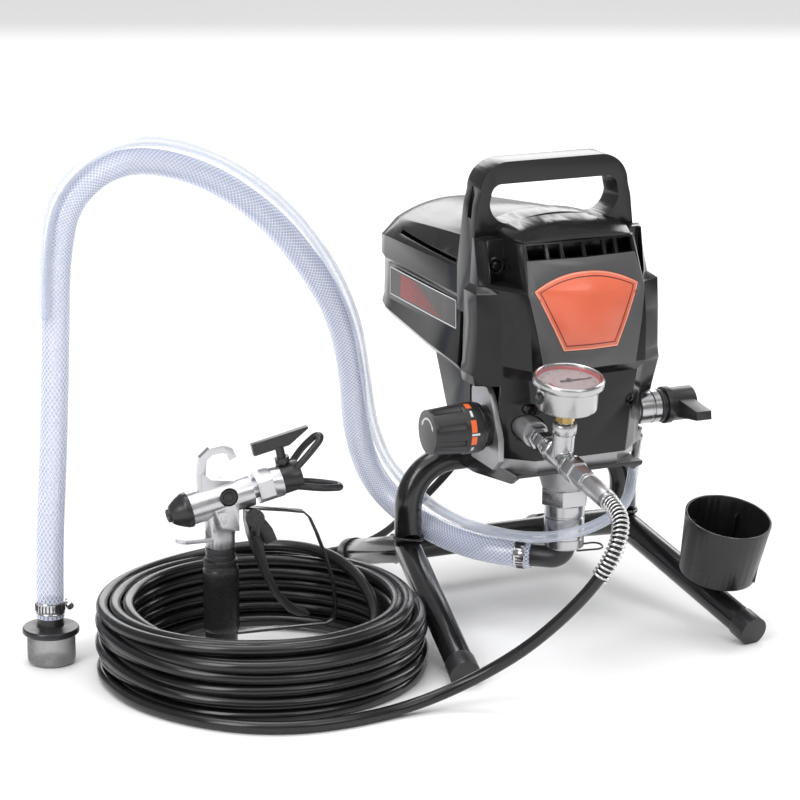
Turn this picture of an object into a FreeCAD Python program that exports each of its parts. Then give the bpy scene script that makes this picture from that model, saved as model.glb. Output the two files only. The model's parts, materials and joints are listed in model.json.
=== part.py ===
import FreeCAD, Part
import math
import os

os.makedirs("parts", exist_ok=True)
Vec = FreeCAD.Vector

# Airless paint sprayer on a tube stand, with its hoses and spray gun.
# Millimetres. X runs left to right seen from the front, Y to the back, Z up.
# The pieces are placed about the middle of the stand, then saved shifted by
# ROW_SHIFT, so that the origin is under the middle of the machine and gun.

ROW_SHIFT = Vec(94.9, 31.6, 0)

# ---- driving dimensions ----------------------------------------------------

TUBE_R = 12.7            # 25.4 mm stand tube
TUBE_WALL = 1.5
ARCH_X = 111.4           # half the distance between the arch's legs
ARCH_TOP = 149           # height of the arch's upper run
ARCH_BEND = 45
APEX_Z = 65.3            # where the sloping legs meet
FRONT_FOOT = Vec(143.3, -196.3, 12.5)
REAR_FOOT = Vec(100, 163.7, 12.5)
CAP_R = 13.9
CAP_LEN = 16

PUMP_Y = -100            # the pump's upright axis is at X 0
CRANK_Z = 250            # crank shaft height
MOTOR_Z = 300            # motor shaft height
CRANK_THROW = 5
ROD_R = 6
CYLINDER_R = 18.5

VALVE_Y = -92            # shared axis of the pressure knob and prime valve
VALVE_Z = 203

RUN_TILT = math.radians(9)
OUTLET = Vec(-49, -125, 206)

SUCTION_R = 12.5
RETURN_R = 5
HOSE_R = 5.5
CORD_R = 3.75
COIL_CENTRE = Vec(-286, -76, 0)
COIL_OUT = 146.5
COIL_IN = 112
COIL_H = 66
LEAD_COIL = Vec(-203, 112, 0)

GUN_FLOOR = Vec(-318, -59, 0)
GUN_YAW = -5
BARREL_TILT = 13
WALL = 3                 # moulded shells


# ---- shape makers ----------------------------------------------------------

def save(node, *solids):
    """Write one node: a solid, or a group of separate solids."""
    flat = [s for shape in solids for s in shape.Solids]
    shape = flat[0] if len(flat) == 1 else Part.makeCompound(flat)
    shape = shape.copy()
    shape.translate(ROW_SHIFT)
    shape.exportStep("parts/%s.step" % node)
    print("%-20s solids %d volume %.0f" % (node, len(flat), shape.Volume))


def cyl(start, end, radius):
    """Round bar from one point to another."""
    return Part.makeCylinder(radius, (end - start).Length, start, end - start)


def cone(start, end, r_start, r_end):
    return Part.makeCone(r_start, r_end, (end - start).Length, start, end - start)


def ring(start, end, r_out, r_in):
    return cyl(start, end, r_out).cut(cyl(start, end, r_in))


def block(x0, x1, y0, y1, z0, z1):
    return Part.makeBox(x1 - x0, y1 - y0, z1 - z0, Vec(x0, y0, z0))


def face_of(points):
    return Part.Face(Part.makePolygon(points + points[:1]))


def prism(points, along):
    """Flat outline pushed along a vector."""
    return face_of(points).extrude(along)


def hexagon(start, end, flats):
    """Hexagon bar, given its width across flats."""
    axis = end - start
    turn = FreeCAD.Rotation(Vec(0, 0, 1), axis)
    corner = flats / math.sqrt(3)
    angles = [math.radians(60 * i) for i in range(6)]
    points = [start + turn.multVec(Vec(corner * math.cos(a), corner * math.sin(a), 0)) for a in angles]
    return prism(points, axis)


def fuse(first, *others):
    return first.multiFuse(list(others)).removeSplitter()


def mirror_x(shape):
    return shape.mirror(Vec(0, 0, 0), Vec(1, 0, 0))


def half_space(point, normal, size=400):
    """Large block on the side of a plane that its normal points to."""
    cube = Part.makeBox(size, size, size, Vec(-size / 2, -size / 2, 0))
    cube.Placement = FreeCAD.Placement(point, FreeCAD.Rotation(Vec(0, 0, 1), normal))
    return cube


# ---- cords -----------------------------------------------------------------

def route_wire(points, name):
    """Straight runs joined by tangent arcs, each as large as its runs allow."""
    edges = []
    start = points[0]
    radii = []
    for before, corner, after in zip(points, points[1:], points[2:]):
        back = (before - corner)
        ahead = (after - corner)
        run = 0.45 * min(back.Length, ahead.Length)
        half_turn = (math.pi - back.getAngle(ahead)) / 2
        radii.append(run / math.tan(half_turn))
        back.normalize()
        ahead.normalize()
        enter = corner + back * run
        leave = corner + ahead * run
        middle = back + ahead
        middle.normalize()
        reach = radii[-1] * (1 / math.cos(half_turn) - 1)
        edges.append(Part.LineSegment(start, enter).toShape())
        edges.append(Part.Arc(enter, corner + middle * reach, leave).toShape())
        start = leave
    edges.append(Part.LineSegment(start, points[-1]).toShape())
    wire = Part.Wire(edges)
    print("%-20s radii %s length %.0f" % (name, " ".join("%.0f" % r for r in radii), wire.Length))
    return wire


def tube_along(wire, radius, bore=0):
    """Round section swept along a route; its volume is compared with the route's."""
    start = wire.Edges[0].valueAt(wire.Edges[0].FirstParameter)
    ahead = wire.Edges[0].tangentAt(wire.Edges[0].FirstParameter)
    rim = Part.Wire([Part.makeCircle(radius, start, ahead)])
    tube = wire.makePipeShell([rim], True, True)
    if bore:
        inner = Part.Wire([Part.makeCircle(bore, start, ahead)])
        tube = tube.cut(wire.makePipeShell([inner], True, True))
    expected = math.pi * (radius ** 2 - bore ** 2) * wire.Length
    print("    volume over section times length %.3f" % (tube.Volume / expected))
    return tube


# ---- stand -----------------------------------------------------------------

def leg_line(sign, foot):
    return Vec(sign * ARCH_X, 0, APEX_Z), Vec(sign * foot.x, foot.y, foot.z)


def leg_tube(sign, foot, other):
    """One sloping leg, mitred where it meets the other leg of its side."""
    apex, end = leg_line(sign, foot)
    partner = leg_line(sign, other)[1]
    ahead = (end - apex)
    ahead.normalize()
    other_way = (partner - apex)
    other_way.normalize()
    start = apex - ahead * 20
    tube = cyl(start, end, TUBE_R).cut(cyl(start, end, TUBE_R - TUBE_WALL))
    return tube.cut(half_space(apex, other_way - ahead))


def solid_legs():
    """The legs without their bores, for cutting what is welded on them."""
    bars = []
    for sign in (-1, 1):
        for foot in (FRONT_FOOT, REAR_FOOT):
            apex, end = leg_line(sign, foot)
            bars.append(cyl(apex - (end - apex) * 0.1, end, TUBE_R))
    return bars


def stand():
    legs = []
    caps = []
    for sign in (-1, 1):
        for foot, other in ((FRONT_FOOT, REAR_FOOT), (REAR_FOOT, FRONT_FOOT)):
            legs.append(leg_tube(sign, foot, other))
            apex, end = leg_line(sign, foot)
            ahead = (end - apex)
            ahead.normalize()
            cap = cyl(end - ahead * CAP_LEN, end + ahead * 3, CAP_R)
            cap = cap.cut(cyl(end - ahead * (CAP_LEN + 1), end, TUBE_R))
            floor = block(end.x - 40, end.x + 40, end.y - 40, end.y + 40, -40, 0)
            caps.append(cap.cut(floor))

    # straight tie tube between the rear legs, with its ends cut to their shape
    apex, end = leg_line(1, REAR_FOOT)
    tie = apex + (end - apex) * 0.43
    tie_left = Vec(-tie.x, tie.y, tie.z)
    cross = ring(tie_left, tie, TUBE_R, TUBE_R - TUBE_WALL)
    for bar in solid_legs():
        cross = cross.cut(bar)
    save("stand_legs", *legs, max(cross.Solids, key=lambda s: s.Volume))
    save("leg_end_caps", *caps)

    # inverted U arch, saddled onto the legs
    low = APEX_Z + 4
    bend = ARCH_BEND
    x, top = ARCH_X, ARCH_TOP
    knee = bend * (1 - math.sqrt(0.5))
    path = Part.Wire([
        Part.LineSegment(Vec(-x, 0, low), Vec(-x, 0, top - bend)).toShape(),
        Part.Arc(Vec(-x, 0, top - bend), Vec(-x + knee, 0, top - knee), Vec(-x + bend, 0, top)).toShape(),
        Part.LineSegment(Vec(-x + bend, 0, top), Vec(x - bend, 0, top)).toShape(),
        Part.Arc(Vec(x - bend, 0, top), Vec(x - knee, 0, top - knee), Vec(x, 0, top - bend)).toShape(),
        Part.LineSegment(Vec(x, 0, top - bend), Vec(x, 0, low)).toShape()])
    arch = tube_along(path, TUBE_R, TUBE_R - TUBE_WALL)
    for bar in solid_legs():
        arch = arch.cut(bar)
    save("stand_arch", max(arch.Solids, key=lambda s: s.Volume))


PLATE_LOW = ARCH_TOP + TUBE_R      # the bracket lies on the arch
PLATE_HIGH = PLATE_LOW + 3


def bracket():
    plate = block(-63, 63, -130, 14, PLATE_LOW, PLATE_HIGH)
    plate = plate.cut(cyl(Vec(0, PUMP_Y, 150), Vec(0, PUMP_Y, 170), 24.5))
    wing = [Vec(60, 14, PLATE_LOW), Vec(60, 14, 144), Vec(60, -40, 144),
            Vec(60, -118, 154), Vec(60, -130, PLATE_LOW)]
    wing = prism(wing, Vec(3, 0, 0))
    tube = cyl(Vec(-70, 0, ARCH_TOP), Vec(70, 0, ARCH_TOP), TUBE_R)
    wing = wing.cut(tube)
    save("mounting_bracket", fuse(plate, wing, mirror_x(wing)))


def tip_cup():
    """Drip cup on a stub post on the right front leg."""
    apex, end = leg_line(1, FRONT_FOOT)
    foot = apex + (end - apex) * 0.7
    up = Vec(0.0412, -0.2535, 0.9665)
    up.normalize()
    base, rim, r_base, r_rim, wall = 27, 85, 35, 40, 2
    outer = cone(foot + up * base, foot + up * rim, r_base, r_rim)
    inner = cone(foot + up * (base + wall), foot + up * (rim + 0.01), r_base - wall, r_rim - wall)
    cup = outer.cut(inner)
    post = cyl(foot + up * 8, foot + up * (base + 1), 7)
    post = post.cut(cyl(apex, end, TUBE_R))
    post = max(post.Solids, key=lambda s: s.Volume)
    ribs = []
    for quarter in range(4):
        rib = block(r_base - 6, r_base + 1.5, -0.8, 0.8, base + 1, rim - 14)
        rib.Placement = FreeCAD.Placement(foot, FreeCAD.Rotation(Vec(0, 0, 1), up)) * FreeCAD.Placement(
            Vec(0, 0, 0), FreeCAD.Rotation(Vec(0, 0, 1), 45 + 90 * quarter))
        ribs.append(rib)
    save("tip_cup", fuse(cup, post, *ribs))


# ---- housing ---------------------------------------------------------------

# Front cover: half outlines at rising heights, each from the rear edge round
# to the middle of the front: (half width, side front Y, cheek X and Y,
# front corner X and Y, bulge of the middle)
COVER_LEVELS = [
    (176, 77, -98, 64, -112, 45, -130, 1),
    (228, 87, -100, 68, -112, 50, -131, 2),
    (252, 93, -101, 70, -113, 54, -134, 2),
    (263, 91, -102, 71, -114, 56, -145, 5),
    (300, 90, -103, 70, -112, 57, -143, 5),
    (326, 90, -101, 71, -110, 57, -139, 5),
    (331, 84, -92, 78, -98, 57, -137, 5),
    (372, 82, -78, 77, -92, 54, -118, 5)]
COVER_REAR = -74


def cover_wire(level, inset, drop):
    z, half, side_y, cheek_x, cheek_y, front_x, front_y, bulge = level
    rear = COVER_REAR if not inset else COVER_REAR + 10
    side = [(half - inset, rear), (half - inset, side_y + inset * 0.5),
            (cheek_x - inset, cheek_y + inset), (front_x - inset * 0.7, front_y + inset)]
    right = [Vec(px, py, z + drop) for px, py in side]
    middle = [Vec(0, front_y - bulge + inset, z + drop)]
    left = [Vec(-p.x, p.y, p.z) for p in reversed(right)]
    return Part.makePolygon(right + middle + left + right[:1])


def cover_body(inset=0.0):
    """Stack of ruled slices, so that each facet break is a crisp level line."""
    slices = []
    for low, high in zip(COVER_LEVELS, COVER_LEVELS[1:]):
        first = low is COVER_LEVELS[0]
        last = high is COVER_LEVELS[-1]
        wires = [cover_wire(low, inset, -inset if first else 0),
                 cover_wire(high, inset, -inset if last else 0)]
        slices.append(Part.makeLoft(wires, True, True))
    return slices[0].multiFuse(slices[1:])


TRIM_OUTLINE = [(-53, 358), (53, 358), (57, 330), (45, 262), (-45, 262), (-57, 330)]


def badge_face(grow, y):
    """Kite-like label outline with an arched top."""
    top, low = 333, 279
    left = Vec(-51 - grow, y, top + grow * 0.3)
    right = Vec(51 + grow, y, top + grow * 0.3)
    bottom_right = Vec(26.5 + grow * 0.7, y, low - grow)
    bottom_left = Vec(-26.5 - grow * 0.7, y, low - grow)
    arc = Part.Arc(left, Vec(0, y, 347 + grow), right).toShape()
    lines = [Part.LineSegment(a, b).toShape()
             for a, b in ((right, bottom_right), (bottom_right, bottom_left), (bottom_left, left))]
    return Part.Face(Part.Wire([arc] + lines))


def front_cover():
    cover = cover_body()
    inner = cover_body(WALL)
    cover = cover.cut(inner)
    # screw pockets either side of the panel, open to the front and top
    pocket = block(58, 76, -140, -88, 334, 380)
    pocket_floor = block(56, 78, -140, -85, 332, 380).common(cover_body())
    backing = pocket_floor.cut(pocket)
    cover = fuse(cover, backing, mirror_x(backing))
    cover = cover.cut(pocket).cut(mirror_x(pocket))
    # the left side is cut away round the pressure regulator's ear
    cover = cover.cut(block(-120, -70.4, -125, -60, 170, 243))
    # slots for the prime valve, outlet boss and gauge run
    for sign in (-1, 1):
        port = block(60, 100, -108, -70, 186, 220)
        cover = cover.cut(port if sign > 0 else mirror_x(port))
        cover = cover.cut(cyl(Vec(sign * 66.5, -95, 348), Vec(sign * 66.5, -80, 348), 2))
    run = Vec(0, -math.cos(RUN_TILT), -math.sin(RUN_TILT))
    cover = cover.cut(cyl(OUTLET - run * 30, OUTLET + run * 60, 13.5))
    # air vents under the crown
    for x0, x1 in ((-51, -34), (-31, -20), (-17, 1), (4, 22), (25, 34), (37, 52)):
        cover = cover.cut(block(x0, x1, -140, -100, 358, 370.5))
    # lower screw recesses
    for x in (-50, 50):
        cover = cover.cut(cyl(Vec(x, -140, 224), Vec(x, -124, 224), 6))
    # seat for the label
    seat = badge_face(0.3, -160).extrude(Vec(0, 60, 0))
    band = cover_body().cut(cover_body(1.2))
    cover = cover.cut(seat.common(band))
    save("front_cover", max(cover.Solids, key=lambda s: s.Volume))
    # the grey panel wraps the front of the cover, and the label fills its seat
    skin = cover_body(-1.2).cut(cover_body())
    panel = face_of([Vec(px, -170, pz) for px, pz in TRIM_OUTLINE]).extrude(Vec(0, 60, 0))
    hole = badge_face(0.3, -171).extrude(Vec(0, 70, 0))
    trim = skin.common(panel).cut(hole)
    save("front_trim", max(trim.Solids, key=lambda s: s.Volume))
    label = cover_body(-0.6).cut(cover_body(1.2))
    label = label.common(badge_face(0, -160).extrude(Vec(0, 60, 0)))
    save("front_badge", max(label.Solids, key=lambda s: s.Volume))


def handle():
    """Carry handle: a flat portal whose feet run down beside the hood."""
    y0, y1 = -72, -42
    z_low, z_top = 300, 437
    corner = 27
    edge = corner * (1 - math.sqrt(0.5))
    outline = Part.Wire([
        Part.LineSegment(Vec(-82, y0, z_low), Vec(-82, y0, 340)).toShape(),
        Part.LineSegment(Vec(-82, y0, 340), Vec(-76, y0, 398)).toShape(),
        Part.LineSegment(Vec(-76, y0, 398), Vec(-73, y0, z_top - corner)).toShape(),
        Part.Arc(Vec(-73, y0, z_top - corner), Vec(-73 + edge, y0, z_top - edge),
                 Vec(-73 + corner, y0, z_top)).toShape(),
        Part.LineSegment(Vec(-73 + corner, y0, z_top), Vec(73 - corner, y0, z_top)).toShape(),
        Part.Arc(Vec(73 - corner, y0, z_top), Vec(73 - edge, y0, z_top - edge),
                 Vec(73, y0, z_top - corner)).toShape(),
        Part.LineSegment(Vec(73, y0, z_top - corner), Vec(76, y0, 398)).toShape(),
        Part.LineSegment(Vec(76, y0, 398), Vec(82, y0, 340)).toShape(),
        Part.LineSegment(Vec(82, y0, 340), Vec(82, y0, z_low)).toShape(),
        Part.LineSegment(Vec(82, y0, z_low), Vec(-82, y0, z_low)).toShape()])
    solid = Part.Face(outline).extrude(Vec(0, y1 - y0, 0))
    grip = Part.Wire([
        Part.Arc(Vec(-62.5, y0 - 1, 407), Vec(-59.5, y0 - 1, 414), Vec(-52, y0 - 1, 417)).toShape(),
        Part.LineSegment(Vec(-52, y0 - 1, 417), Vec(52, y0 - 1, 417)).toShape(),
        Part.Arc(Vec(52, y0 - 1, 417), Vec(59.5, y0 - 1, 414), Vec(62.5, y0 - 1, 407)).toShape(),
        Part.LineSegment(Vec(62.5, y0 - 1, 407), Vec(64, y0 - 1, 400)).toShape(),
        Part.Arc(Vec(64, y0 - 1, 400), Vec(58.5, y0 - 1, 387), Vec(44, y0 - 1, 381)).toShape(),
        Part.Arc(Vec(44, y0 - 1, 381), Vec(0, y0 - 1, 388), Vec(-44, y0 - 1, 381)).toShape(),
        Part.Arc(Vec(-44, y0 - 1, 381), Vec(-58.5, y0 - 1, 387), Vec(-64, y0 - 1, 400)).toShape(),
        Part.LineSegment(Vec(-64, y0 - 1, 400), Vec(-62.5, y0 - 1, 407)).toShape()])
    solid = solid.cut(Part.Face(grip).extrude(Vec(0, y1 - y0 + 2, 0)))
    solid = solid.cut(block(-70, 70, -90, -30, 290, 368))
    for sign in (-1, 1):
        recess = block(72, 90, -61, -53, 386, 414) if sign > 0 else block(-90, -72, -61, -53, 386, 414)
        solid = solid.cut(recess)

    # crown: the rounded bridge from the grip's lower edge to the front cover
    def crown_wire(y, half, z_side, z_mid, z_base):
        left, right = Vec(-half, y, z_side), Vec(half, y, z_side)
        base_left, base_right = Vec(-half, y, z_base), Vec(half, y, z_base)
        return Part.Wire([Part.Arc(left, Vec(0, y, z_mid), right).toShape(),
                          Part.LineSegment(right, base_right).toShape(),
                          Part.LineSegment(base_right, base_left).toShape(),
                          Part.LineSegment(base_left, left).toShape()])
    crown = Part.makeLoft([crown_wire(-71, 60, 378, 387, 372.2),
                           crown_wire(-100, 58, 376, 385, 372.2),
                           crown_wire(-119, 52, 373.5, 377, 372.2)], True, True)
    save("handle_frame", fuse(solid, crown))


# Motor hood: half outlines at rising Y: (Y, side scale, bottom Z, brow low Z,
# brow high Z, top edge X and Z, crown Z)
HOOD_LEVELS = [
    (-41.6, 1.0, 239, 314, 337, 73, 366, 384),
    (22, 1.0, 244.5, 314, 337, 71, 361, 379),
    (126, 0.98, 256, 314, 335, 64, 350, 367),
    (146, 0.92, 258, 315, 332, 60, 347, 363),
    (152, 0.82, 263, 318, 328, 53, 343, 357)]


def hood_wire(level, inset):
    y, k, low, brow_low, brow_high, top_x, top_z, crown = level
    side = [(74 * k, low), (81.5 * k, low + 9), (79 * k, 275), (78 * k, 309),
            (82 * k, brow_low), (82 * k, brow_high), (top_x, top_z)]
    right = [Vec(px - inset, y, pz) for px, pz in side]
    right[0].z += inset
    right[-1].z -= inset
    left = [Vec(-p.x, p.y, p.z) for p in reversed(right)]
    arc = Part.Arc(right[-1], Vec(0, y, crown - inset), left[0]).toShape()
    ring_points = left + right
    lines = [Part.LineSegment(a, b).toShape() for a, b in zip(ring_points, ring_points[1:])]
    return Part.Wire([arc] + lines)


def hood_body(inset=0.0):
    wires = []
    for level in HOOD_LEVELS:
        if inset and level is HOOD_LEVELS[0]:
            level = (level[0] - 1,) + level[1:]
        if inset and level is HOOD_LEVELS[-1]:
            level = (level[0] - inset,) + level[1:]
        if inset and level[0] == 146:
            level = (144,) + level[1:]
        wires.append(hood_wire(level, inset))
    return Part.makeLoft(wires, True, True)


def motor_hood():
    neck_side = [Vec(-75, 20, 252), Vec(-75, 20, 246), Vec(-75, -4, 202), Vec(-75, -20, 176),
                 Vec(-75, -73.6, 176), Vec(-75, -73.6, 299.6), Vec(-75, -41.6, 299.6), Vec(-75, -41.6, 252)]
    neck = prism(neck_side, Vec(150, 0, 0))
    neck_bore = [Vec(-72, 17, 256), Vec(-72, 17, 247), Vec(-72, -7, 203), Vec(-72, -23, 179),
                 Vec(-72, -90, 179), Vec(-72, -90, 310), Vec(-72, -36, 310), Vec(-72, -36, 256)]
    neck_bore = prism(neck_bore, Vec(144, 0, 0))
    shell = hood_body().fuse(neck)
    shell = shell.cut(hood_body(WALL)).cut(neck_bore)
    # the neck's front bottom edge leaves room for the casting's ears
    shell = shell.cut(block(-90, 90, -90, -56.5, 170, 246))
    for sign in (-1, 1):
        slot = block(60, 90, -36, 101, 341, 344.5)
        shell = shell.cut(slot if sign > 0 else mirror_x(slot))
    shell = shell.cut(block(-13, 13, 140, 160, 291, 311))
    shell = shell.cut(cyl(Vec(30, 100, 245), Vec(30, 100, 262), 8))
    save("motor_hood", max(shell.Solids, key=lambda s: s.Volume))


def casting():
    """Cast pump and gear housing: base, ears, manifold, gear ring, pump neck."""
    base = [Vec(x, y, PLATE_HIGH) for x, y in (
        (-71, -57), (-71, -97), (-58, -108.5), (-40, -124), (40, -124), (58, -108.5), (70, -97), (70, -57))]
    body = prism(base, Vec(0, 0, 196 - PLATE_HIGH))
    pan = block(-69, 69, -57, -24, PLATE_HIGH, 176)
    ear = [Vec(-76, -62, 167), Vec(-76, -62, 231), Vec(-76, -68, 238), Vec(-76, -94, 238.5),
           Vec(-76, -101, 233), Vec(-76, -119, 196), Vec(-76, -119, 176), Vec(-76, -108, 166)]
    ear = prism(ear, Vec(5.4, 0, 0))
    manifold = cyl(Vec(-74, VALVE_Y, VALVE_Z), Vec(74, VALVE_Y, VALVE_Z), 13)
    chamber = cyl(Vec(0, -78, CRANK_Z), Vec(0, -46, CRANK_Z), 49)
    chamber = chamber.cut(cyl(Vec(0, -79, CRANK_Z), Vec(0, -52, CRANK_Z), 44.5))
    wall = block(-49, 49, -52, -46, CRANK_Z, MOTOR_Z + 18)
    run = Vec(0, -math.cos(RUN_TILT), -math.sin(RUN_TILT))
    boss = cyl(OUTLET - run * 12, OUTLET + run * 14, 12)
    boss_root = block(-56, -42, -112, -100, 190, 210)
    neck = cyl(Vec(0, PUMP_Y, 150), Vec(0, PUMP_Y, PLATE_HIGH + 1), 24)
    neck_cone = cone(Vec(0, PUMP_Y, 140), Vec(0, PUMP_Y, 150), 21, 24)
    solid = fuse(body, pan, ear, manifold, chamber, wall, boss, boss_root, neck, neck_cone)
    solid = solid.cut(cyl(Vec(0, PUMP_Y, 130), Vec(0, PUMP_Y, 230), 7))
    solid = solid.cut(cyl(Vec(0, -80, CRANK_Z), Vec(0, -40, CRANK_Z), 6.05))
    solid = solid.cut(cyl(Vec(0, -80, MOTOR_Z), Vec(0, -40, MOTOR_Z), 5.05))
    solid = solid.cut(cyl(Vec(0, -80, MOTOR_Z), Vec(0, -52, MOTOR_Z), 14))
    save("gear_housing", max(solid.Solids, key=lambda s: s.Volume))


def screws():
    """Button head screws: four in the cover, four under the bracket."""
    made = []
    for sign in (-1, 1):
        head = cyl(Vec(sign * 66.5, -92, 348), Vec(sign * 66.5, -88, 348), 5)
        shank = cyl(Vec(sign * 66.5, -88, 348), Vec(sign * 66.5, -85.2, 348), 2)
        made.append(fuse(head, shank))
        head = cyl(Vec(sign * 50, -128.4, 224), Vec(sign * 50, -124, 224), 5)
        made.append(head)
        for y in (-88, -36):
            made.append(cyl(Vec(sign * 42, y, PLATE_LOW - 3.5), Vec(sign * 42, y, PLATE_LOW), 5))
    save("machine_screws", *made)


# ---- motor and drive -------------------------------------------------------

def spur(teeth, module, start, width, phase):
    """Spur gear with straight flanks, its axis along +Y."""
    pitch = teeth * module / 2
    tip, root = pitch + 0.8 * module, pitch - 1.1 * module
    step = 2 * math.pi / teeth
    points = []
    for i in range(teeth):
        middle = phase + i * step
        for radius, share in ((root, -0.34), (pitch, -0.21), (tip, -0.10),
                              (tip, 0.10), (pitch, 0.21), (root, 0.34)):
            angle = middle + share * step
            points.append(Vec(radius * math.cos(angle), 0, radius * math.sin(angle)) + start)
    return prism(points, Vec(0, width, 0))


def drive():
    motor = Vec(0, 0, MOTOR_Z)
    crank = Vec(0, 0, CRANK_Z)

    def at(axis, y):
        return axis + Vec(0, y, 0)
    can = ring(at(motor, -40), at(motor, 100), 40, 31)
    plate = ring(at(motor, -46), at(motor, -40), 40, 6)
    save("drive_motor", fuse(can, plate))
    shaft = fuse(cyl(at(motor, -60), at(motor, 130), 5),
                 cyl(at(motor, -32), at(motor, 80), 29.5),
                 spur(10, 2, at(motor, -74), 14, math.pi / 2 + math.pi / 10))
    save("motor_rotor", shaft)
    fan = ring(at(motor, 106), at(motor, 122), 11, 5)
    blades = [prism([Vec(9, 108, MOTOR_Z - 1), Vec(34, 108, MOTOR_Z - 1),
                     Vec(34, 120, MOTOR_Z + 5), Vec(9, 120, MOTOR_Z + 5)], Vec(0, 1.5, 0))]
    for i in range(1, 7):
        blade = blades[0].copy()
        blade.rotate(motor, Vec(0, 1, 0), 360 / 7 * i)
        blades.append(blade)
    save("cooling_fan", fuse(fan, *blades))
    gear = fuse(spur(40, 2, at(crank, -72), 10, math.pi / 2),
                cyl(at(crank, -62), at(crank, -46), 6),
                cyl(at(crank, -107) + Vec(CRANK_THROW, 0, 0), at(crank, -72) + Vec(CRANK_THROW, 0, 0), 4))
    save("crank_gear", gear)
    yoke = block(-14, 14, PUMP_Y - 5, PUMP_Y + 5, CRANK_Z - 20, CRANK_Z + 20)
    yoke = yoke.cut(block(-9.7, 9.7, PUMP_Y - 6, PUMP_Y + 6, CRANK_Z - 15, CRANK_Z + 15))
    rod = fuse(yoke, cyl(Vec(0, PUMP_Y, 108), Vec(0, PUMP_Y, CRANK_Z - 19), ROD_R),
               cyl(Vec(0, PUMP_Y, 108), Vec(0, PUMP_Y, 117), 9.6))
    save("piston_rod", rod)
    board = block(-66, -64, -20, 90, 266, 330)
    parts = [cyl(Vec(-64, y, 284), Vec(-50, y, 284), r) for y, r in ((0, 8), (24, 8), (62, 10))]
    sink = block(-64, -54, -10, 50, 304, 326)
    save("control_board", fuse(board, sink, *parts))
    switch = fuse(block(-13, 13, 134, 152, 291, 311), block(-16, 16, 152, 154, 288, 314))
    switch = switch.cut(block(-9, 9, 144, 160, 293, 309))
    save("power_switch", switch)
    rocker = cyl(Vec(-8.7, 149.5, 301), Vec(8.7, 149.5, 301), 3.4)
    wings = [Vec(-8.7, 149, 294.6), Vec(-8.7, 156.5, 295), Vec(-8.7, 154, 301), Vec(-8.7, 154, 307.8),
             Vec(-8.7, 149, 307.8)]
    save("switch_rocker", fuse(rocker, prism(wings, Vec(17.4, 0, 0))))
    gland = cone(Vec(30, 100, 226), Vec(30, 100, 249), 5.5, 7.9)
    flange = cyl(Vec(30, 100, 248.5), Vec(30, 100, 251), 11)
    collar = cyl(Vec(30, 100, 251), Vec(30, 100, 262), 7.9)
    gland = fuse(gland, flange, collar)
    save("cord_gland", gland)


# ---- pump ------------------------------------------------------------------

def pump():
    def at(z):
        return Vec(0, PUMP_Y, z)
    body = cyl(at(83), at(125), CYLINDER_R)
    body = body.cut(cyl(at(88), at(126), 9.7)).cut(cyl(at(82), at(89), 5))
    save("pump_cylinder", body)
    nut = hexagon(at(125), at(140), 40)
    nut = nut.cut(cyl(at(124), at(138.5), 12)).cut(cyl(at(138), at(141), 6.6))
    save("pump_nut", nut)
    packings = [ring(at(z), at(z + 4), 12, ROD_R + 0.06) for z in (126, 130.5, 134.4)]
    save("rod_packings", *packings)
    ball_seat = 88 + math.sqrt(6 ** 2 - 5 ** 2) + 0.05
    save("inlet_ball", Part.makeSphere(6, at(ball_seat)))
    # black elbow under the cylinder, turned towards the suction hose
    away = SUCTION_ROUTE[0] - at(72)
    away.normalize()
    bend, drop = 13, 72
    knee = bend * (1 - math.sqrt(0.5))
    corner = at(drop)
    path = Part.Wire([
        Part.LineSegment(at(83), at(drop + bend)).toShape() if drop + bend < 83 else
        Part.LineSegment(at(drop + bend + 2), at(drop + bend)).toShape(),
        Part.Arc(at(drop + bend), corner + away * knee + Vec(0, 0, knee), corner + away * bend).toShape(),
        Part.LineSegment(corner + away * bend, SUCTION_ROUTE[0]).toShape()])
    elbow = tube_along(path, 10.5).cut(body).cut(cyl(at(83), at(90), 30))
    elbow = max(elbow.Solids, key=lambda s: s.Volume)
    # bent wire clip that keeps the elbow in the pump, on its right side
    z = 79.5
    clip_points = [Vec(9, PUMP_Y - 8, z), Vec(36, PUMP_Y - 12, z), Vec(38, PUMP_Y + 6, z + 1),
                   Vec(9, PUMP_Y + 8, z)]
    clip = tube_along(route_wire(clip_points, "inlet_clip"), 0.9)
    save("inlet_elbow", elbow, clip.cut(elbow))


# ---- outlet, gauge, knob and prime valve -----------------------------------

RUN = Vec(0, -math.cos(RUN_TILT), -math.sin(RUN_TILT))
GAUGE_UP = Vec(0, -math.sin(RUN_TILT), math.cos(RUN_TILT))
TEE_AT = 66.8


def along(distance):
    return OUTLET + RUN * distance


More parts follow.
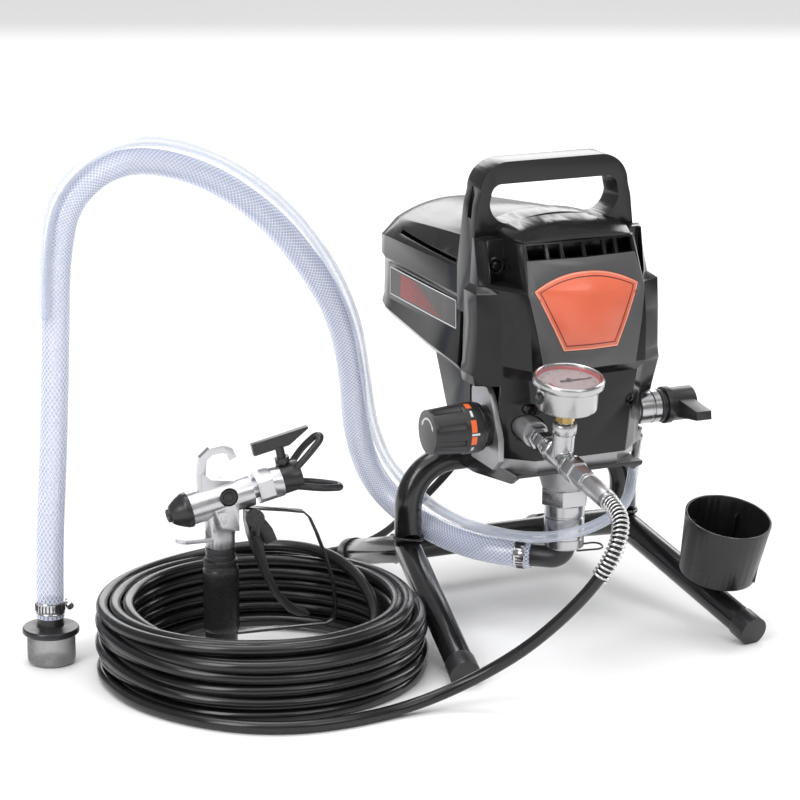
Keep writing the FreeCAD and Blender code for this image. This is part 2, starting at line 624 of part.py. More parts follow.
def gauge():
    nipple = fuse(hexagon(along(14), along(23), 19), cyl(along(23), along(28), 7),
                  hexagon(along(28), along(38), 17), cyl(along(38), along(48), 7.5))
    save("outlet_nipple", nipple)
    tee = along(TEE_AT)

    def up(height):
        return tee + GAUGE_UP * height
    body = fuse(cyl(along(48), along(86), 10), cyl(tee, up(34), 9.75))
    save("gauge_tee", body)
    case = fuse(cyl(up(34), up(49), 7.2), cyl(up(48), up(71), 26.75), cyl(up(70.5), up(78), 31.3))
    case = case.cut(cyl(up(72), up(79), 28))
    side = Vec(-1, 0, 0)
    plug = cyl(up(60) + side * 25, up(60) + side * 29, 5.5)
    save("gauge_case", fuse(case, plug))
    save("gauge_dial", cyl(up(72), up(73), 27.9))
    save("gauge_lens", cyl(up(76), up(77.3), 27.9))
    hub = cyl(up(73.1), up(75.2), 2.2)
    point = Vec(1, 0, 0)
    flat = GAUGE_UP.cross(point)
    needle = [up(73.6) + point * -8 + flat * 1.3, up(73.6) + point * -8 - flat * 1.3,
              up(73.6) + point * 22 - flat * 0.35, up(73.6) + point * 22 + flat * 0.35]
    save("gauge_needle", fuse(hub, prism(needle, GAUGE_UP * 0.6)))
    # hose end: swivel nut, then the long crimped sleeve
    nut = fuse(hexagon(along(86), along(100), 20), hexagon(along(100), along(118), 17))
    save("hose_coupling", nut, cyl(along(118), along(HOSE_START), 8.5))


HOSE_START = 160


def knob():
    def at(x):
        return Vec(x, VALVE_Y, VALVE_Z)
    base = fuse(cyl(at(-76), at(-83), 19), cyl(at(-83), at(-87), 22), cyl(at(-87), at(-120), 7))
    save("regulator_base", base)
    cap = fuse(cyl(at(-87.3), at(-101), 23), cone(at(-101), at(-133), 22.6, 20))
    cap = cap.cut(cyl(at(-86), at(-121), 7.06))
    for i in range(8):
        flute = cyl(at(-104) + Vec(0, 0, 25.6), at(-130) + Vec(0, 0, 23.8), 5)
        flute.rotate(at(0), Vec(1, 0, 0), 45 * i + 22)
        cap = cap.cut(flute)
    save("pressure_knob", cap)


def prime_valve():
    def at(x):
        return Vec(x, VALVE_Y, VALVE_Z)
    body = fuse(cyl(at(74), at(96), 15), cyl(at(96), at(102), 13.5), cyl(at(102), at(124), 6))
    save("prime_valve", body)
    hub = fuse(cyl(at(102.3), at(108), 17), cyl(at(108), at(131), 15.5))
    lever = [Vec(112, -100, 211), Vec(112, -140, 207), Vec(112, -141, 199), Vec(112, -100, 193)]
    lever = prism(lever, Vec(15, 0, 0))
    grip = fuse(hub, lever).cut(cyl(at(101), at(125), 6.06))
    save("prime_lever", grip)
    barb = fuse(cyl(Vec(70, -76, 171), Vec(89, -76, 171), 5), cyl(BARB_TOP, BARB_END, 4.2))
    save("return_barb", barb)


# ---- hoses and lead --------------------------------------------------------

SUCTION_ROUTE = [Vec(*p) for p in (
    (-23.3, -81, 72), (-54.3, -55.7, 72), (-80, -9, 77), (-98, 40, 88), (-118, 68, 114),
    (-131, 79, 160), (-134, 79, 220), (-150, 72, 278), (-184, 64, 332), (-232, 52, 386),
    (-296, 39, 430), (-372, 25, 450), (-425, 17, 420), (-438, 14, 370), (-441, 13.5, 300),
    (-446, 12.5, 200), (-453.8, 12, 96), (-453.8, 12, 42))]

BARB_TOP = Vec(86, -76, 168)
BARB_END = Vec(79, -84, 148)
RETURN_ROUTE = [Vec(*p) for p in (
    (79, -84, 148), (73.3, -90.5, 131.7), (63, -102, 120), (46, -115, 113), (24, -126, 109),
    (-3, -131, 105), (-29, -124, 101), (-50, -99, 98), (-65, -61, 96), (-76, -18, 97),
    (-86, 26, 104), (-106, 58, 130), (-119, 66, 168), (-128, 61, 216), (-138, 56, 272),
    (-166, 53, 334), (-215, 42, 396), (-287, 31, 448), (-373, 19, 470), (-438, 9, 434),
    (-453, 4, 376), (-454, 2, 316))]

HOSE_ROUTE = [Vec(*p) for p in (
    (-49, -301, 178), (-55, -317, 165), (-66, -322, 145), (-80, -315, 119), (-100, -296, 87),
    (-124, -274, 56), (-153, -251, 30), (-188, -238, 12), (-228, -240, 5.5), (-274, -247, 5.5),
    (-320, -244, 5.5), (-362, -224, 5.5), (-398, -186, 5.5), (-422, -140, 5.5), (-430, -94, 5.5))]

LEAD_ROUTE = [Vec(*p) for p in (
    (30, 100, 226), (30, 100, 190), (19, 105, 150), (-4, 113, 114), (-30, 124, 80), (-50, 148, 48),
    (-62, 178, 20), (-84, 198, 5), (-112, 199, 4), (-143, 186, 4), (-174, 168, 4), (-203, 161, 4))]


GUARD_EDGES = 7          # the spring covers the hose's first runs and arcs


def hoses():
    suction = route_wire(SUCTION_ROUTE, "suction_hose")
    save("suction_hose", tube_along(suction, SUCTION_R))
    returns = route_wire(RETURN_ROUTE, "return_tube")
    save("return_tube", tube_along(returns, RETURN_R))

    first = SUCTION_ROUTE[1] - SUCTION_ROUTE[0]
    first.normalize()
    last = SUCTION_ROUTE[-2] - SUCTION_ROUTE[-1]
    last.normalize()
    clamps = []
    for start, ahead in ((SUCTION_ROUTE[0], first), (SUCTION_ROUTE[-1], last)):
        band = ring(start + ahead * 4, start + ahead * 15, 13.6, SUCTION_R)
        across = ahead.cross(Vec(0, 0, 1)) if abs(ahead.z) < 0.9 else Vec(1, 0, 0)
        across.normalize()
        side = ahead.cross(across)
        worm = cyl(start + ahead * 9.5 + across * 16.5 - side * 8,
                   start + ahead * 9.5 + across * 16.5 + side * 8, 3.6)
        worm = worm.cut(cyl(start, start + ahead * 20, SUCTION_R))
        clamps.append(fuse(band, worm))
    save("hose_clamps", *clamps)

    foot = Vec(SUCTION_ROUTE[-1].x, SUCTION_ROUTE[-1].y, 0)

    def rise(z):
        return foot + Vec(0, 0, z)
    cap = fuse(cyl(rise(27), rise(33), 25.5), cyl(rise(33), rise(42), 12))
    save("strainer_cap", cap)
    cup = fuse(cyl(rise(3), rise(27), 21.5), cone(rise(0), rise(3), 19, 21.5))
    save("strainer_mesh", cup.cut(cyl(rise(2), rise(30), 20.3)))

    wire = route_wire([along(HOSE_START)] + HOSE_ROUTE, "pressure_hose")
    save("pressure_hose", tube_along(wire, HOSE_R))
    sprung = Part.Wire(wire.Edges[:GUARD_EDGES])
    save("spring_guard", tube_along(sprung, 8.1, HOSE_R))
    coil = ring(COIL_CENTRE, COIL_CENTRE + Vec(0, 0, COIL_H), COIL_OUT, COIL_IN)
    save("pressure_hose_coil", coil)
    end = COIL_CENTRE + Vec(102.5, 0, 8.5)
    fitting = fuse(cyl(end + Vec(0, -26, 0), end + Vec(0, 2, 0), 7.5),
                   hexagon(end + Vec(0, 2, 0), end + Vec(0, 18, 0), 14.7))
    save("hose_end_fitting", fitting)

    lead = route_wire(LEAD_ROUTE, "power_cord")
    save("power_cord", tube_along(lead, CORD_R))
    save("power_cord_coil", ring(LEAD_COIL, LEAD_COIL + Vec(0, 0, 15.4), 50, 26))
    low = LEAD_COIL + Vec(0, 0, 15.4)
    plug = fuse(block(low.x - 44, low.x + 4, low.y - 1, low.y + 19, low.z, low.z + 16),
                *[cyl(Vec(low.x - 62, low.y + off, low.z + 8), Vec(low.x - 44, low.y + off, low.z + 8), 2.4)
                  for off in (3, 15)])
    save("power_plug", plug)


# ---- spray gun -------------------------------------------------------------

def to_gun(shape):
    """From the gun's own frame (x forward, z up) to its place in the coil."""
    placed = shape.copy()
    placed.rotate(Vec(0, 0, 0), Vec(0, 0, 1), GUN_YAW)
    placed.translate(GUN_FLOOR)
    return placed


TILT = Vec(math.cos(math.radians(BARREL_TILT)), 0, math.sin(math.radians(BARREL_TILT)))
BARREL = Vec(0, 0, 154.1)          # barrel axis over the handle
BARREL_UP = Vec(-TILT.z, 0, TILT.x)


def bore_at(distance):
    return BARREL + TILT * distance


def strip(points, width, thick):
    """Flat strip bent in the gun's upright plane, following a line of points."""
    upper, lower = [], []
    for i, point in enumerate(points):
        before = points[max(i - 1, 0)]
        after = points[min(i + 1, len(points) - 1)]
        ahead = Vec(after[0] - before[0], 0, after[1] - before[1])
        ahead.normalize()
        normal = Vec(-ahead.z, 0, ahead.x) * (thick / 2)
        centre = Vec(point[0], -width / 2, point[1])
        upper.append(centre + normal)
        lower.append(centre - normal)
    return prism(upper + lower[::-1], Vec(0, width, 0))


def gun():
    def at(z):
        return Vec(0, 0, z)
    barrel = cyl(bore_at(-28), bore_at(29), 14.5)
    snout = cyl(bore_at(28), bore_at(34), 9)
    neck = fuse(cyl(at(111.5), at(136), 13), cone(at(120), at(146), 13, 15))
    cheek = block(-9, 14, -14, 14, 128, 152)
    hook = strip([(-16, 158), (-17, 176), (-15, 193), (-8, 199), (2, 200.5), (9, 198), (12, 191)], 7, 7)
    rest = fuse(block(-34, -6, -10, 10, 118.5, 122.5), cyl(Vec(-32, 0, 118.5), Vec(-32, 0, 122.5), 9))
    web = prism([Vec(-17, -5, 150), Vec(-17, -5, 180), Vec(-9, -5, 174), Vec(21, -5, 170), Vec(24, -5, 150)], Vec(0, 10, 0))
    body = fuse(barrel, snout, neck, cheek, hook, rest, web)
    pivot = cyl(Vec(3.6, -17.6, 160.8), Vec(3.6, 17.6, 160.8), 4)
    body = fuse(body, pivot)
    save("gun_body", to_gun(body.removeSplitter()))
    cap = fuse(cone(bore_at(-28), bore_at(-34), 16, 15), cone(bore_at(-34), bore_at(-46), 15, 7.5),
               cyl(bore_at(-46), bore_at(-49), 6))
    save("gun_nose_cap", to_gun(cap))
    grip = fuse(cyl(at(24), at(35), 14.5), cyl(at(35), at(91), 16.2), cyl(at(91), at(100), 15.2),
                cyl(at(100), at(111.5), 13.5))
    save("gun_grip", to_gun(grip))
    swivel = fuse(cyl(at(0), at(9), 6.85), hexagon(at(9), at(22), 22), cyl(at(22), at(23.7), 10))
    save("gun_swivel", to_gun(swivel))
    guard = strip([(14, 29.5), (55, 29), (97, 29), (104, 33), (106, 45), (104, 66), (97, 92),
                   (89, 114), (82, 130), (76, 136), (60, 139), (44, 141.5), (30, 143.5), (21, 145)], 8, 2)
    guard = guard.cut(cyl(at(24), at(35), 14.5)).cut(body)
    save("trigger_guard", to_gun(max(guard.Solids, key=lambda s: s.Volume)))
    # two-finger trigger, forked over the body and hung on the pivot
    arm = strip([(3.6, 160.8), (19.5, 150), (33, 137)], 37, 17)
    arm = fuse(arm, cyl(Vec(3.6, -18.5, 160.8), Vec(3.6, 18.5, 160.8), 8.5))
    arm = arm.cut(block(-20, 45, -15.2, 15.2, 100, 200))
    arm = arm.cut(cyl(Vec(3.6, -30, 160.8), Vec(3.6, 30, 160.8), 4.08))
    bridge = strip([(33, 133), (38, 126), (42, 116)], 37, 11)
    blade = prism([Vec(x, -8.5, z) for x, z in (
        (23, 141), (23, 132), (25.5, 118), (30, 104.7), (38, 81.8), (49, 58.9), (60, 45.5), (70, 40.8), (78, 40.3),
        (80, 42.5), (72, 46), (65, 51), (52, 65), (43, 85.7), (38, 106), (38.5, 122), (39, 133), (35, 141))], Vec(0, 17, 0))
    trigger = fuse(arm, bridge, blade)
    save("gun_trigger", to_gun(max(trigger.Solids, key=lambda s: s.Volume)))
    lock = fuse(cyl(Vec(26, -23.5, 140), Vec(26, -18.8, 140), 8.5),
                prism([Vec(21, -22, 140), Vec(31, -22, 140), Vec(30, -22, 124), Vec(24, -22, 124)],
                      Vec(0, 3, 0)))
    save("trigger_lock", to_gun(lock))
    nut = hexagon(bore_at(34), bore_at(48), 27)
    nut = fuse(nut, cyl(bore_at(48), bore_at(57), 14.5))
    save("tip_nut", to_gun(nut))
    # tip guard: collar with a loop above and a wing below
    collar = cyl(bore_at(57.3), bore_at(75), 13.5)

    def local(distance, height):
        return bore_at(distance) + BARREL_UP * height

    def loop(points, thick):
        return tube_along(route_wire(points, "guard_loop"), thick)
    wing_up = loop([local(71, 8) + Vec(0, -8, 0), local(86, 19) + Vec(0, -11, 0),
                    local(101, 28) + Vec(0, -7, 0), local(101, 28) + Vec(0, 7, 0),
                    local(86, 19) + Vec(0, 11, 0), local(71, 8) + Vec(0, 8, 0)], 3.1)
    wing_down = loop([local(70, -8) + Vec(0, -9, 0), local(90, -16) + Vec(0, -11, 0),
                      local(108, -23) + Vec(0, -5, 0), local(108, -23) + Vec(0, 5, 0),
                      local(90, -16) + Vec(0, 11, 0), local(70, -8) + Vec(0, 9, 0)], 3.1)
    guard_body = fuse(collar, wing_up, wing_down)
    guard_body = guard_body.cut(cyl(local(63, -10), local(63, 30), 4.06))
    guard_body = guard_body.cut(cyl(local(63, 0), bore_at(80), 2.5))
    save("tip_guard", to_gun(guard_body))
    stem = cyl(local(63, -9.5), local(63, 30), 4)
    flag = [local(39, 29), local(39, 40), local(92, 40.5), local(92, 38.5), local(72, 29)]
    flag = prism([p + Vec(0, -3, 0) for p in flag], Vec(0, 6, 0))
    hilt = cyl(local(63, 15), local(63, 20), 6.5)
    save("spray_tip", to_gun(fuse(stem, flag, hilt)))


stand()
bracket()
tip_cup()
front_cover()
handle()
motor_hood()
casting()
screws()
drive()
pump()
gauge()
knob()
prime_valve()
hoses()
gun()
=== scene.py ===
import bpy, bmesh, json, math
from mathutils import Vector, Matrix
from mathutils.bvhtree import BVHTree


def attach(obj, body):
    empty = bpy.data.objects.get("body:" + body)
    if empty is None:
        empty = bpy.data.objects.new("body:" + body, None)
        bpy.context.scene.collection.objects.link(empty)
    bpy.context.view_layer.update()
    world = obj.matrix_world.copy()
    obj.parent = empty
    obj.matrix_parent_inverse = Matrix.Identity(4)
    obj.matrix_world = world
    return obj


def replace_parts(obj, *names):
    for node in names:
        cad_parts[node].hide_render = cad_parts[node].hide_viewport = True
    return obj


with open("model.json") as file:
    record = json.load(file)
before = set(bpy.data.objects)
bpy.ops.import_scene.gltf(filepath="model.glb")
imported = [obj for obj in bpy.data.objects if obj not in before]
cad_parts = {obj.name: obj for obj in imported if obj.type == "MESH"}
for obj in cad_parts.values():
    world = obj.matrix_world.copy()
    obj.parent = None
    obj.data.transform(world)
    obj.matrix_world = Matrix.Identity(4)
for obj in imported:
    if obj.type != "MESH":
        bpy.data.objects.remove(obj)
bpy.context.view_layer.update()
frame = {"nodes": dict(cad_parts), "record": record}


# ---- view, floor and studio light ----
# The sprayer stands on a white studio floor under broad soft lamps. The camera
# looks from the front left, a little from above, through a long lens.
def stand(x, y, z):
    """A place measured in millimetres from the middle of the tube stand."""
    return Vector(((x + 94.9) / 1000, (y + 31.6) / 1000, z / 1000))


scene = bpy.context.scene
scene.view_settings.view_transform = "Standard"
lens = bpy.data.cameras.new("camera")
lens.lens, lens.sensor_width = 142.88, 36
lens.clip_end = 100
camera = bpy.data.objects.new("camera", lens)
camera.location = stand(-1237.3, -2572.8, 960.4)
camera.rotation_euler = (math.radians(75.0), 0, math.radians(-23.482))
scene.collection.objects.link(camera)
scene.camera = camera

floor_net = bmesh.new()
bmesh.ops.create_grid(floor_net, x_segments=8, y_segments=8, size=20)
floor_mesh = bpy.data.meshes.new("studio_floor")
floor_net.to_mesh(floor_mesh)
floor = bpy.data.objects.new("studio_floor", floor_mesh)
floor.location.z = -0.0005
scene.collection.objects.link(floor)
paper = bpy.data.materials.new("white_paper")
paper.use_nodes = True
paper.node_tree.nodes["Principled BSDF"].inputs["Base Color"].default_value = (0.93, 0.93, 0.935, 1)
paper.node_tree.nodes["Principled BSDF"].inputs["Roughness"].default_value = 0.9
paper.node_tree.nodes["Principled BSDF"].inputs["Specular IOR Level"].default_value = 0.1
floor_mesh.materials.append(paper)

room = bpy.data.worlds.new("studio_room")
room.use_nodes = True
scene.world = room
room.node_tree.nodes["Background"].inputs["Color"].default_value = (1, 1, 1, 1)
room.node_tree.nodes["Background"].inputs["Strength"].default_value = 0.3
for name, place, aim, width, height, watts in (
        ("lamp_left", (-2.6, -1.4, 1.9), (0, 0, 0.2), 1.2, 2.2, 46),
        ("lamp_front", (0.9, -3.4, 2.6), (0, 0, 0.2), 2.0, 0.8, 22),
        ("lamp_right", (2.8, 0.5, 1.6), (0, 0, 0.2), 0.9, 2.0, 34),
        ("lamp_top", (-0.2, 0.6, 3.0), (0, 0, 0), 1.8, 1.2, 20),
        ("lamp_back", (1.3, 3.0, 1.55), (0, 0, 0.3), 3.4, 1.7, 52)):
    panel = bpy.data.lights.new(name, "AREA")
    panel.shape, panel.size, panel.size_y, panel.energy = "RECTANGLE", width, height, watts
    lamp = bpy.data.objects.new(name, panel)
    lamp.location = place
    lamp.rotation_euler = (Vector(aim) - Vector(place)).to_track_quat("-Z", "Y").to_euler()
    scene.collection.objects.link(lamp)


sky_panel = bpy.data.lights.new("lamp_sky", "SUN")
sky_panel.energy, sky_panel.angle = 1.35, math.radians(70)
sky_lamp = bpy.data.objects.new("lamp_sky", sky_panel)
sky_lamp.rotation_euler = (math.radians(12), math.radians(-8), 0)
scene.collection.objects.link(sky_lamp)


# ---- hoses and lead: their lines ----
# Each is one smooth curve through the points that it was laid along. A drawn
# curve has a round section, and closes at its ends.
def laid_line(name, points, radius, sides=6, capped=True):
    curve = bpy.data.curves.new(name, "CURVE")
    curve.dimensions = "3D"
    curve.resolution_u = 5
    line = curve.splines.new("NURBS")
    line.points.add(len(points) - 1)
    for knot, point in zip(line.points, points):
        knot.co = (*point, 1)
    line.order_u = 3
    line.use_endpoint_u = True
    curve.bevel_depth = radius
    curve.bevel_resolution = sides
    curve.use_fill_caps = capped
    piece = bpy.data.objects.new(name, curve)
    scene.collection.objects.link(piece)
    return piece


def line_points(points):
    """Close points along the smooth line, read from the same curve without its thickness."""
    bare = laid_line("bare_line", points, 0)
    bpy.context.view_layer.update()
    mesh = bpy.data.meshes.new_from_object(bare)
    found = [v.co.copy() for v in mesh.vertices]
    curve = bare.data
    bpy.data.objects.remove(bare)
    bpy.data.curves.remove(curve)
    bpy.data.meshes.remove(mesh)
    return found


def length_of(points):
    return sum((b - a).length for a, b in zip(points, points[1:]))


def moulded_finish(name, colour, rough, metal=0.0, grain=900, bump=0.08, mottle=0.08,
                   spread=0.05, patches=35, coat=0.0):
    """A finish with uneven shade and polish over the surface, and a fine grain."""
    material = bpy.data.materials.new(name)
    material.use_nodes = True
    nodes, links = material.node_tree.nodes, material.node_tree.links
    shader = nodes["Principled BSDF"]
    shader.inputs["Metallic"].default_value = metal
    shader.inputs["Coat Weight"].default_value = coat
    shader.inputs["Coat Roughness"].default_value = 0.08
    place = nodes.new("ShaderNodeTexCoord")
    cloud = nodes.new("ShaderNodeTexNoise")
    cloud.inputs["Scale"].default_value = patches
    cloud.inputs["Detail"].default_value = 4
    links.new(place.outputs["Object"], cloud.inputs["Vector"])
    tone = nodes.new("ShaderNodeValToRGB")
    tone.color_ramp.elements[0].position, tone.color_ramp.elements[1].position = 0.3, 0.7
    tone.color_ramp.elements[0].color = (*[c * (1 - mottle) for c in colour], 1)
    tone.color_ramp.elements[1].color = (*[min(1, c * (1 + mottle)) for c in colour], 1)
    links.new(cloud.outputs["Fac"], tone.inputs["Fac"])
    links.new(tone.outputs["Color"], shader.inputs["Base Color"])
    polish = nodes.new("ShaderNodeMapRange")
    polish.inputs["From Min"].default_value, polish.inputs["From Max"].default_value = 0.3, 0.7
    polish.inputs["To Min"].default_value = max(0.02, rough - spread)
    polish.inputs["To Max"].default_value = rough + spread
    links.new(cloud.outputs["Fac"], polish.inputs["Value"])
    links.new(polish.outputs["Result"], shader.inputs["Roughness"])
    fine = nodes.new("ShaderNodeTexNoise")
    fine.name = "grain"
    fine.inputs["Scale"].default_value = grain
    fine.inputs["Detail"].default_value = 2
    links.new(place.outputs["Object"], fine.inputs["Vector"])
    relief = nodes.new("ShaderNodeBump")
    relief.name = "relief"
    relief.inputs["Strength"].default_value = bump
    relief.inputs["Distance"].default_value = 0.0004
    links.new(fine.outputs["Fac"], relief.inputs["Height"])
    links.new(relief.outputs["Normal"], shader.inputs["Normal"])
    return material


parts_of = {n: b for b, names in frame["record"]["behaviour"]["bodies"].items() for n in names}


def stands_for(piece, node, material=None):
    """The piece takes a CAD piece's place, moves with it and has its finish."""
    if material:
        piece.data.materials.clear()
        piece.data.materials.append(material)
    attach(piece, parts_of[node])
    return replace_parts(piece, node)


def added_to(piece, node, material):
    """A detail that sits on a CAD piece and moves with it."""
    piece.data.materials.clear()
    piece.data.materials.append(material)
    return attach(piece, parts_of[node])


# ---- suction hose ----
# Reinforced clear PVC hose, 25 mm outside. A white yarn is braided round the
# inner wall in crossing spirals and sealed under the outer wall.
SUCTION_ROUTE = [stand(*p) for p in (
    (-23.3, -81, 72), (-54.3, -55.7, 72), (-80, -9, 77), (-98, 40, 88), (-118, 68, 114),
    (-131, 79, 160), (-134, 79, 220), (-150, 72, 278), (-184, 64, 332), (-232, 52, 386),
    (-296, 39, 430), (-372, 25, 450), (-425, 17, 420), (-438, 14, 370), (-441, 13.5, 300),
    (-446, 12.5, 200), (-453.8, 12, 96), (-453.8, 12, 42))]


def braided_finish(name, colour, length, radius, yarn_turns, clear, edge):
    """Clear wall with yarn spirals that cross, placed by the hose's own map."""
    material = bpy.data.materials.new(name)
    material.use_nodes = True
    nodes, links = material.node_tree.nodes, material.node_tree.links
    shader = nodes["Principled BSDF"]
    shader.inputs["Roughness"].default_value = 0.12
    shader.inputs["IOR"].default_value = 1.5
    shader.inputs["Coat Weight"].default_value = 0.6
    shader.inputs["Coat Roughness"].default_value = 0.05

    def sum_of(kind, first, second):
        step = nodes.new("ShaderNodeMath")
        step.operation = kind
        for socket, value in zip(step.inputs, (first, second)):
            if isinstance(value, (int, float)):
                socket.default_value = value
            else:
                links.new(value, socket)
        return step.outputs[0]
    place = nodes.new("ShaderNodeUVMap")
    split = nodes.new("ShaderNodeSeparateXYZ")
    links.new(place.outputs["UV"], split.inputs[0])
    rises = sum_of("MULTIPLY", split.outputs["X"], length / (2 * math.pi * radius) * yarn_turns)
    rounds = sum_of("MULTIPLY", split.outputs["Y"], yarn_turns)
    yarn = []
    for kind in ("ADD", "SUBTRACT"):
        phase = sum_of("FRACT", sum_of(kind, rises, rounds), 0)
        yarn.append(sum_of("LESS_THAN", sum_of("ABSOLUTE", sum_of("SUBTRACT", phase, 0.5), 0), 0.13))
    threads = sum_of("MAXIMUM", yarn[0], yarn[1])
    facing = nodes.new("ShaderNodeLayerWeight")
    facing.inputs["Blend"].default_value = 0.35
    wall = sum_of("ADD", sum_of("MULTIPLY", facing.outputs["Facing"], edge), clear)
    full = sum_of("MINIMUM", sum_of("ADD", wall, sum_of("MULTIPLY", threads, 0.3)), 1)
    links.new(full, shader.inputs["Alpha"])
    tone = nodes.new("ShaderNodeMix")
    tone.data_type = "RGBA"
    links.new(threads, tone.inputs["Factor"])
    tone.inputs[6].default_value = (*colour, 1)
    tone.inputs[7].default_value = (0.82, 0.85, 0.95, 1)
    links.new(tone.outputs[2], shader.inputs["Base Color"])
    relief = nodes.new("ShaderNodeBump")
    relief.inputs["Strength"].default_value = 0.15
    relief.inputs["Distance"].default_value = 0.0004
    links.new(threads, relief.inputs["Height"])
    links.new(relief.outputs["Normal"], shader.inputs["Normal"])
    return material


suction_length = length_of(line_points(SUCTION_ROUTE))
suction_hose = laid_line("clear_suction_hose", SUCTION_ROUTE, 0.0125, 10)
stands_for(suction_hose, "suction_hose",
           braided_finish("braided_pvc", (0.5, 0.56, 0.78), suction_length, 0.0125, 20, 0.36, 0.7))
suction_bore = laid_line("suction_hose_bore", SUCTION_ROUTE, 0.0092, 8)
added_to(suction_bore, "suction_hose",
         braided_finish("pvc_bore", (0.62, 0.68, 0.88), suction_length, 0.0092, 14, 0.12, 0.5))


# ---- return tube ----
# Plain clear PVC tube, 10 mm outside, pushed on the prime valve's barb. It runs
# beside the suction hose and ends open over the paint pail.
RETURN_ROUTE = [stand(*p) for p in (
    (79, -84, 148), (73.3, -90.5, 131.7), (63, -102, 120), (46, -115, 113), (24, -126, 109),
    (-3, -131, 105), (-29, -124, 101), (-50, -99, 98), (-65, -61, 96), (-76, -18, 97),
    (-86, 26, 104), (-106, 58, 130), (-119, 66, 168), (-128, 61, 216), (-138, 56, 272),
    (-166, 53, 334), (-215, 42, 396), (-287, 31, 448), (-373, 19, 470), (-438, 9, 434),
    (-453, 4, 376), (-454, 2, 316))]
clear_wall = moulded_finish("clear_pvc", (0.72, 0.77, 0.88), 0.06, grain=60, bump=0.15, mottle=0.03, spread=0.02)
clear_nodes = clear_wall.node_tree.nodes
rim = clear_nodes.new("ShaderNodeLayerWeight")
rim.inputs["Blend"].default_value = 0.45
wall_depth = clear_nodes.new("ShaderNodeMapRange")
wall_depth.inputs["To Min"].default_value, wall_depth.inputs["To Max"].default_value = 0.14, 0.9
clear_wall.node_tree.links.new(rim.outputs["Facing"], wall_depth.inputs["Value"])
clear_wall.node_tree.links.new(wall_depth.outputs["Result"], clear_nodes["Principled BSDF"].inputs["Alpha"])
clear_nodes["Principled BSDF"].inputs["Coat Weight"].default_value = 0.8
clear_nodes["Principled BSDF"].inputs["Coat Roughness"].default_value = 0.03
return_tube = laid_line("clear_return_tube", RETURN_ROUTE, 0.005, 8)
stands_for(return_tube, "return_tube", clear_wall)
return_bore = laid_line("return_tube_bore", RETURN_ROUTE, 0.0033, 6)
added_to(return_bore, "return_tube", clear_wall)


# ---- pressure hose and its coil ----
# Black high-pressure hose, 11 mm outside and 15 m long. It loops down from the
# gauge block, runs round the coil on the floor and winds up into it.
HOSE_ROUTE = [stand(*p) for p in (
    (-49, -283.03, 180.97), (-49, -301, 178), (-55, -317, 165), (-66, -322, 145),
    (-80, -315, 119), (-100, -296, 87), (-124, -274, 56), (-153, -251, 30), (-188, -238, 12),
    (-228, -240, 5.5), (-274, -247, 5.5), (-320, -244, 5.5), (-362, -224, 5.5), (-398, -186, 5.5),
    (-422, -140, 5.5), (-430, -94, 5.5))]
TURN_STEPS = 14
COIL_X, COIL_Y = -286, -76
OUTER_TURN, TURN_GAP = 141, 11.1
HOSE_HALF, LEVEL_RISE = 5.5, 11
SPLINE_PULL = 0.975      # the spline cuts inside its points, so they stand out by this share
LEAN = ((0, 0), (1.5, -0.9), (-1.1, 1.3), (1.3, 1.1), (-1.2, -0.8), (0.9, -1.3))
wound = []
for level in range(6):
    layers = (0, 1, 2) if level % 2 == 0 else (2, 1, 0)
    for count, layer in enumerate(layers):
        radius = OUTER_TURN - TURN_GAP * layer
        climbs = count == len(layers) - 1
        after = radius if climbs else OUTER_TURN - TURN_GAP * layers[count + 1]
        for step in range(TURN_STEPS):
            share = max(0.0, (step - (TURN_STEPS - 3)) / 3)
            share = share * share * (3 - 2 * share)
            r = radius + (after - radius) * share
            height = HOSE_HALF + LEVEL_RISE * level
            if level == 5:
                r += 1.5 * math.sin(math.radians(step * 26 + 40 * count))
            if climbs and level < 5:
                height += LEVEL_RISE * share
                r += (-5.5 if level % 2 == 0 else 4) * math.sin(math.pi * share)
            if climbs and level == 5 and step > 2:
                continue
            angle = math.radians(168) - 2 * math.pi * step / TURN_STEPS
            lean = LEAN[level]
            wound.append(stand(COIL_X + lean[0] + r / SPLINE_PULL * math.cos(angle),
                               COIL_Y + lean[1] + r / SPLINE_PULL * math.sin(angle), height))
# the last end drops inside the coil and lies on the floor with its fitting
for angle, r, height in ((91, 140, 65), (66, 131, 73), (40, 118, 74.5), (15, 106, 66), (-11, 103.5, 51),
                         (-37, 103.5, 38),
                         (-63, 103.5, 27), (-90, 103.5, 19), (-116, 103.5, 13.5), (-142, 103.5, 10),
                         (-168, 103.5, 8.7),
                         (-194, 103.5, 8.5), (-220, 103.5, 8.5), (-246, 103.5, 8.5), (-272, 103.5, 8.5),
                         (-298, 103.5, 8.5), (-322, 104, 8.5), (-339, 105, 8.5)):
    wound.append(stand(COIL_X + r * math.cos(math.radians(angle)), COIL_Y + r * math.sin(math.radians(angle)),
                       height))
wound += [stand(-183.5, -52, 8.5), stand(-183.5, -60, 8.5)]
hose_points = HOSE_ROUTE + wound
pressure_hose = laid_line("paint_pressure_hose", hose_points, 0.0055, 4)
hose_rubber = moulded_finish("hose_rubber", (0.01, 0.01, 0.011), 0.22, grain=500, bump=0.05, mottle=0.25,
                             spread=0.07, patches=22)
stands_for(pressure_hose, "pressure_hose", hose_rubber)
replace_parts(pressure_hose, "pressure_hose_coil")
hose_line = line_points(hose_points)


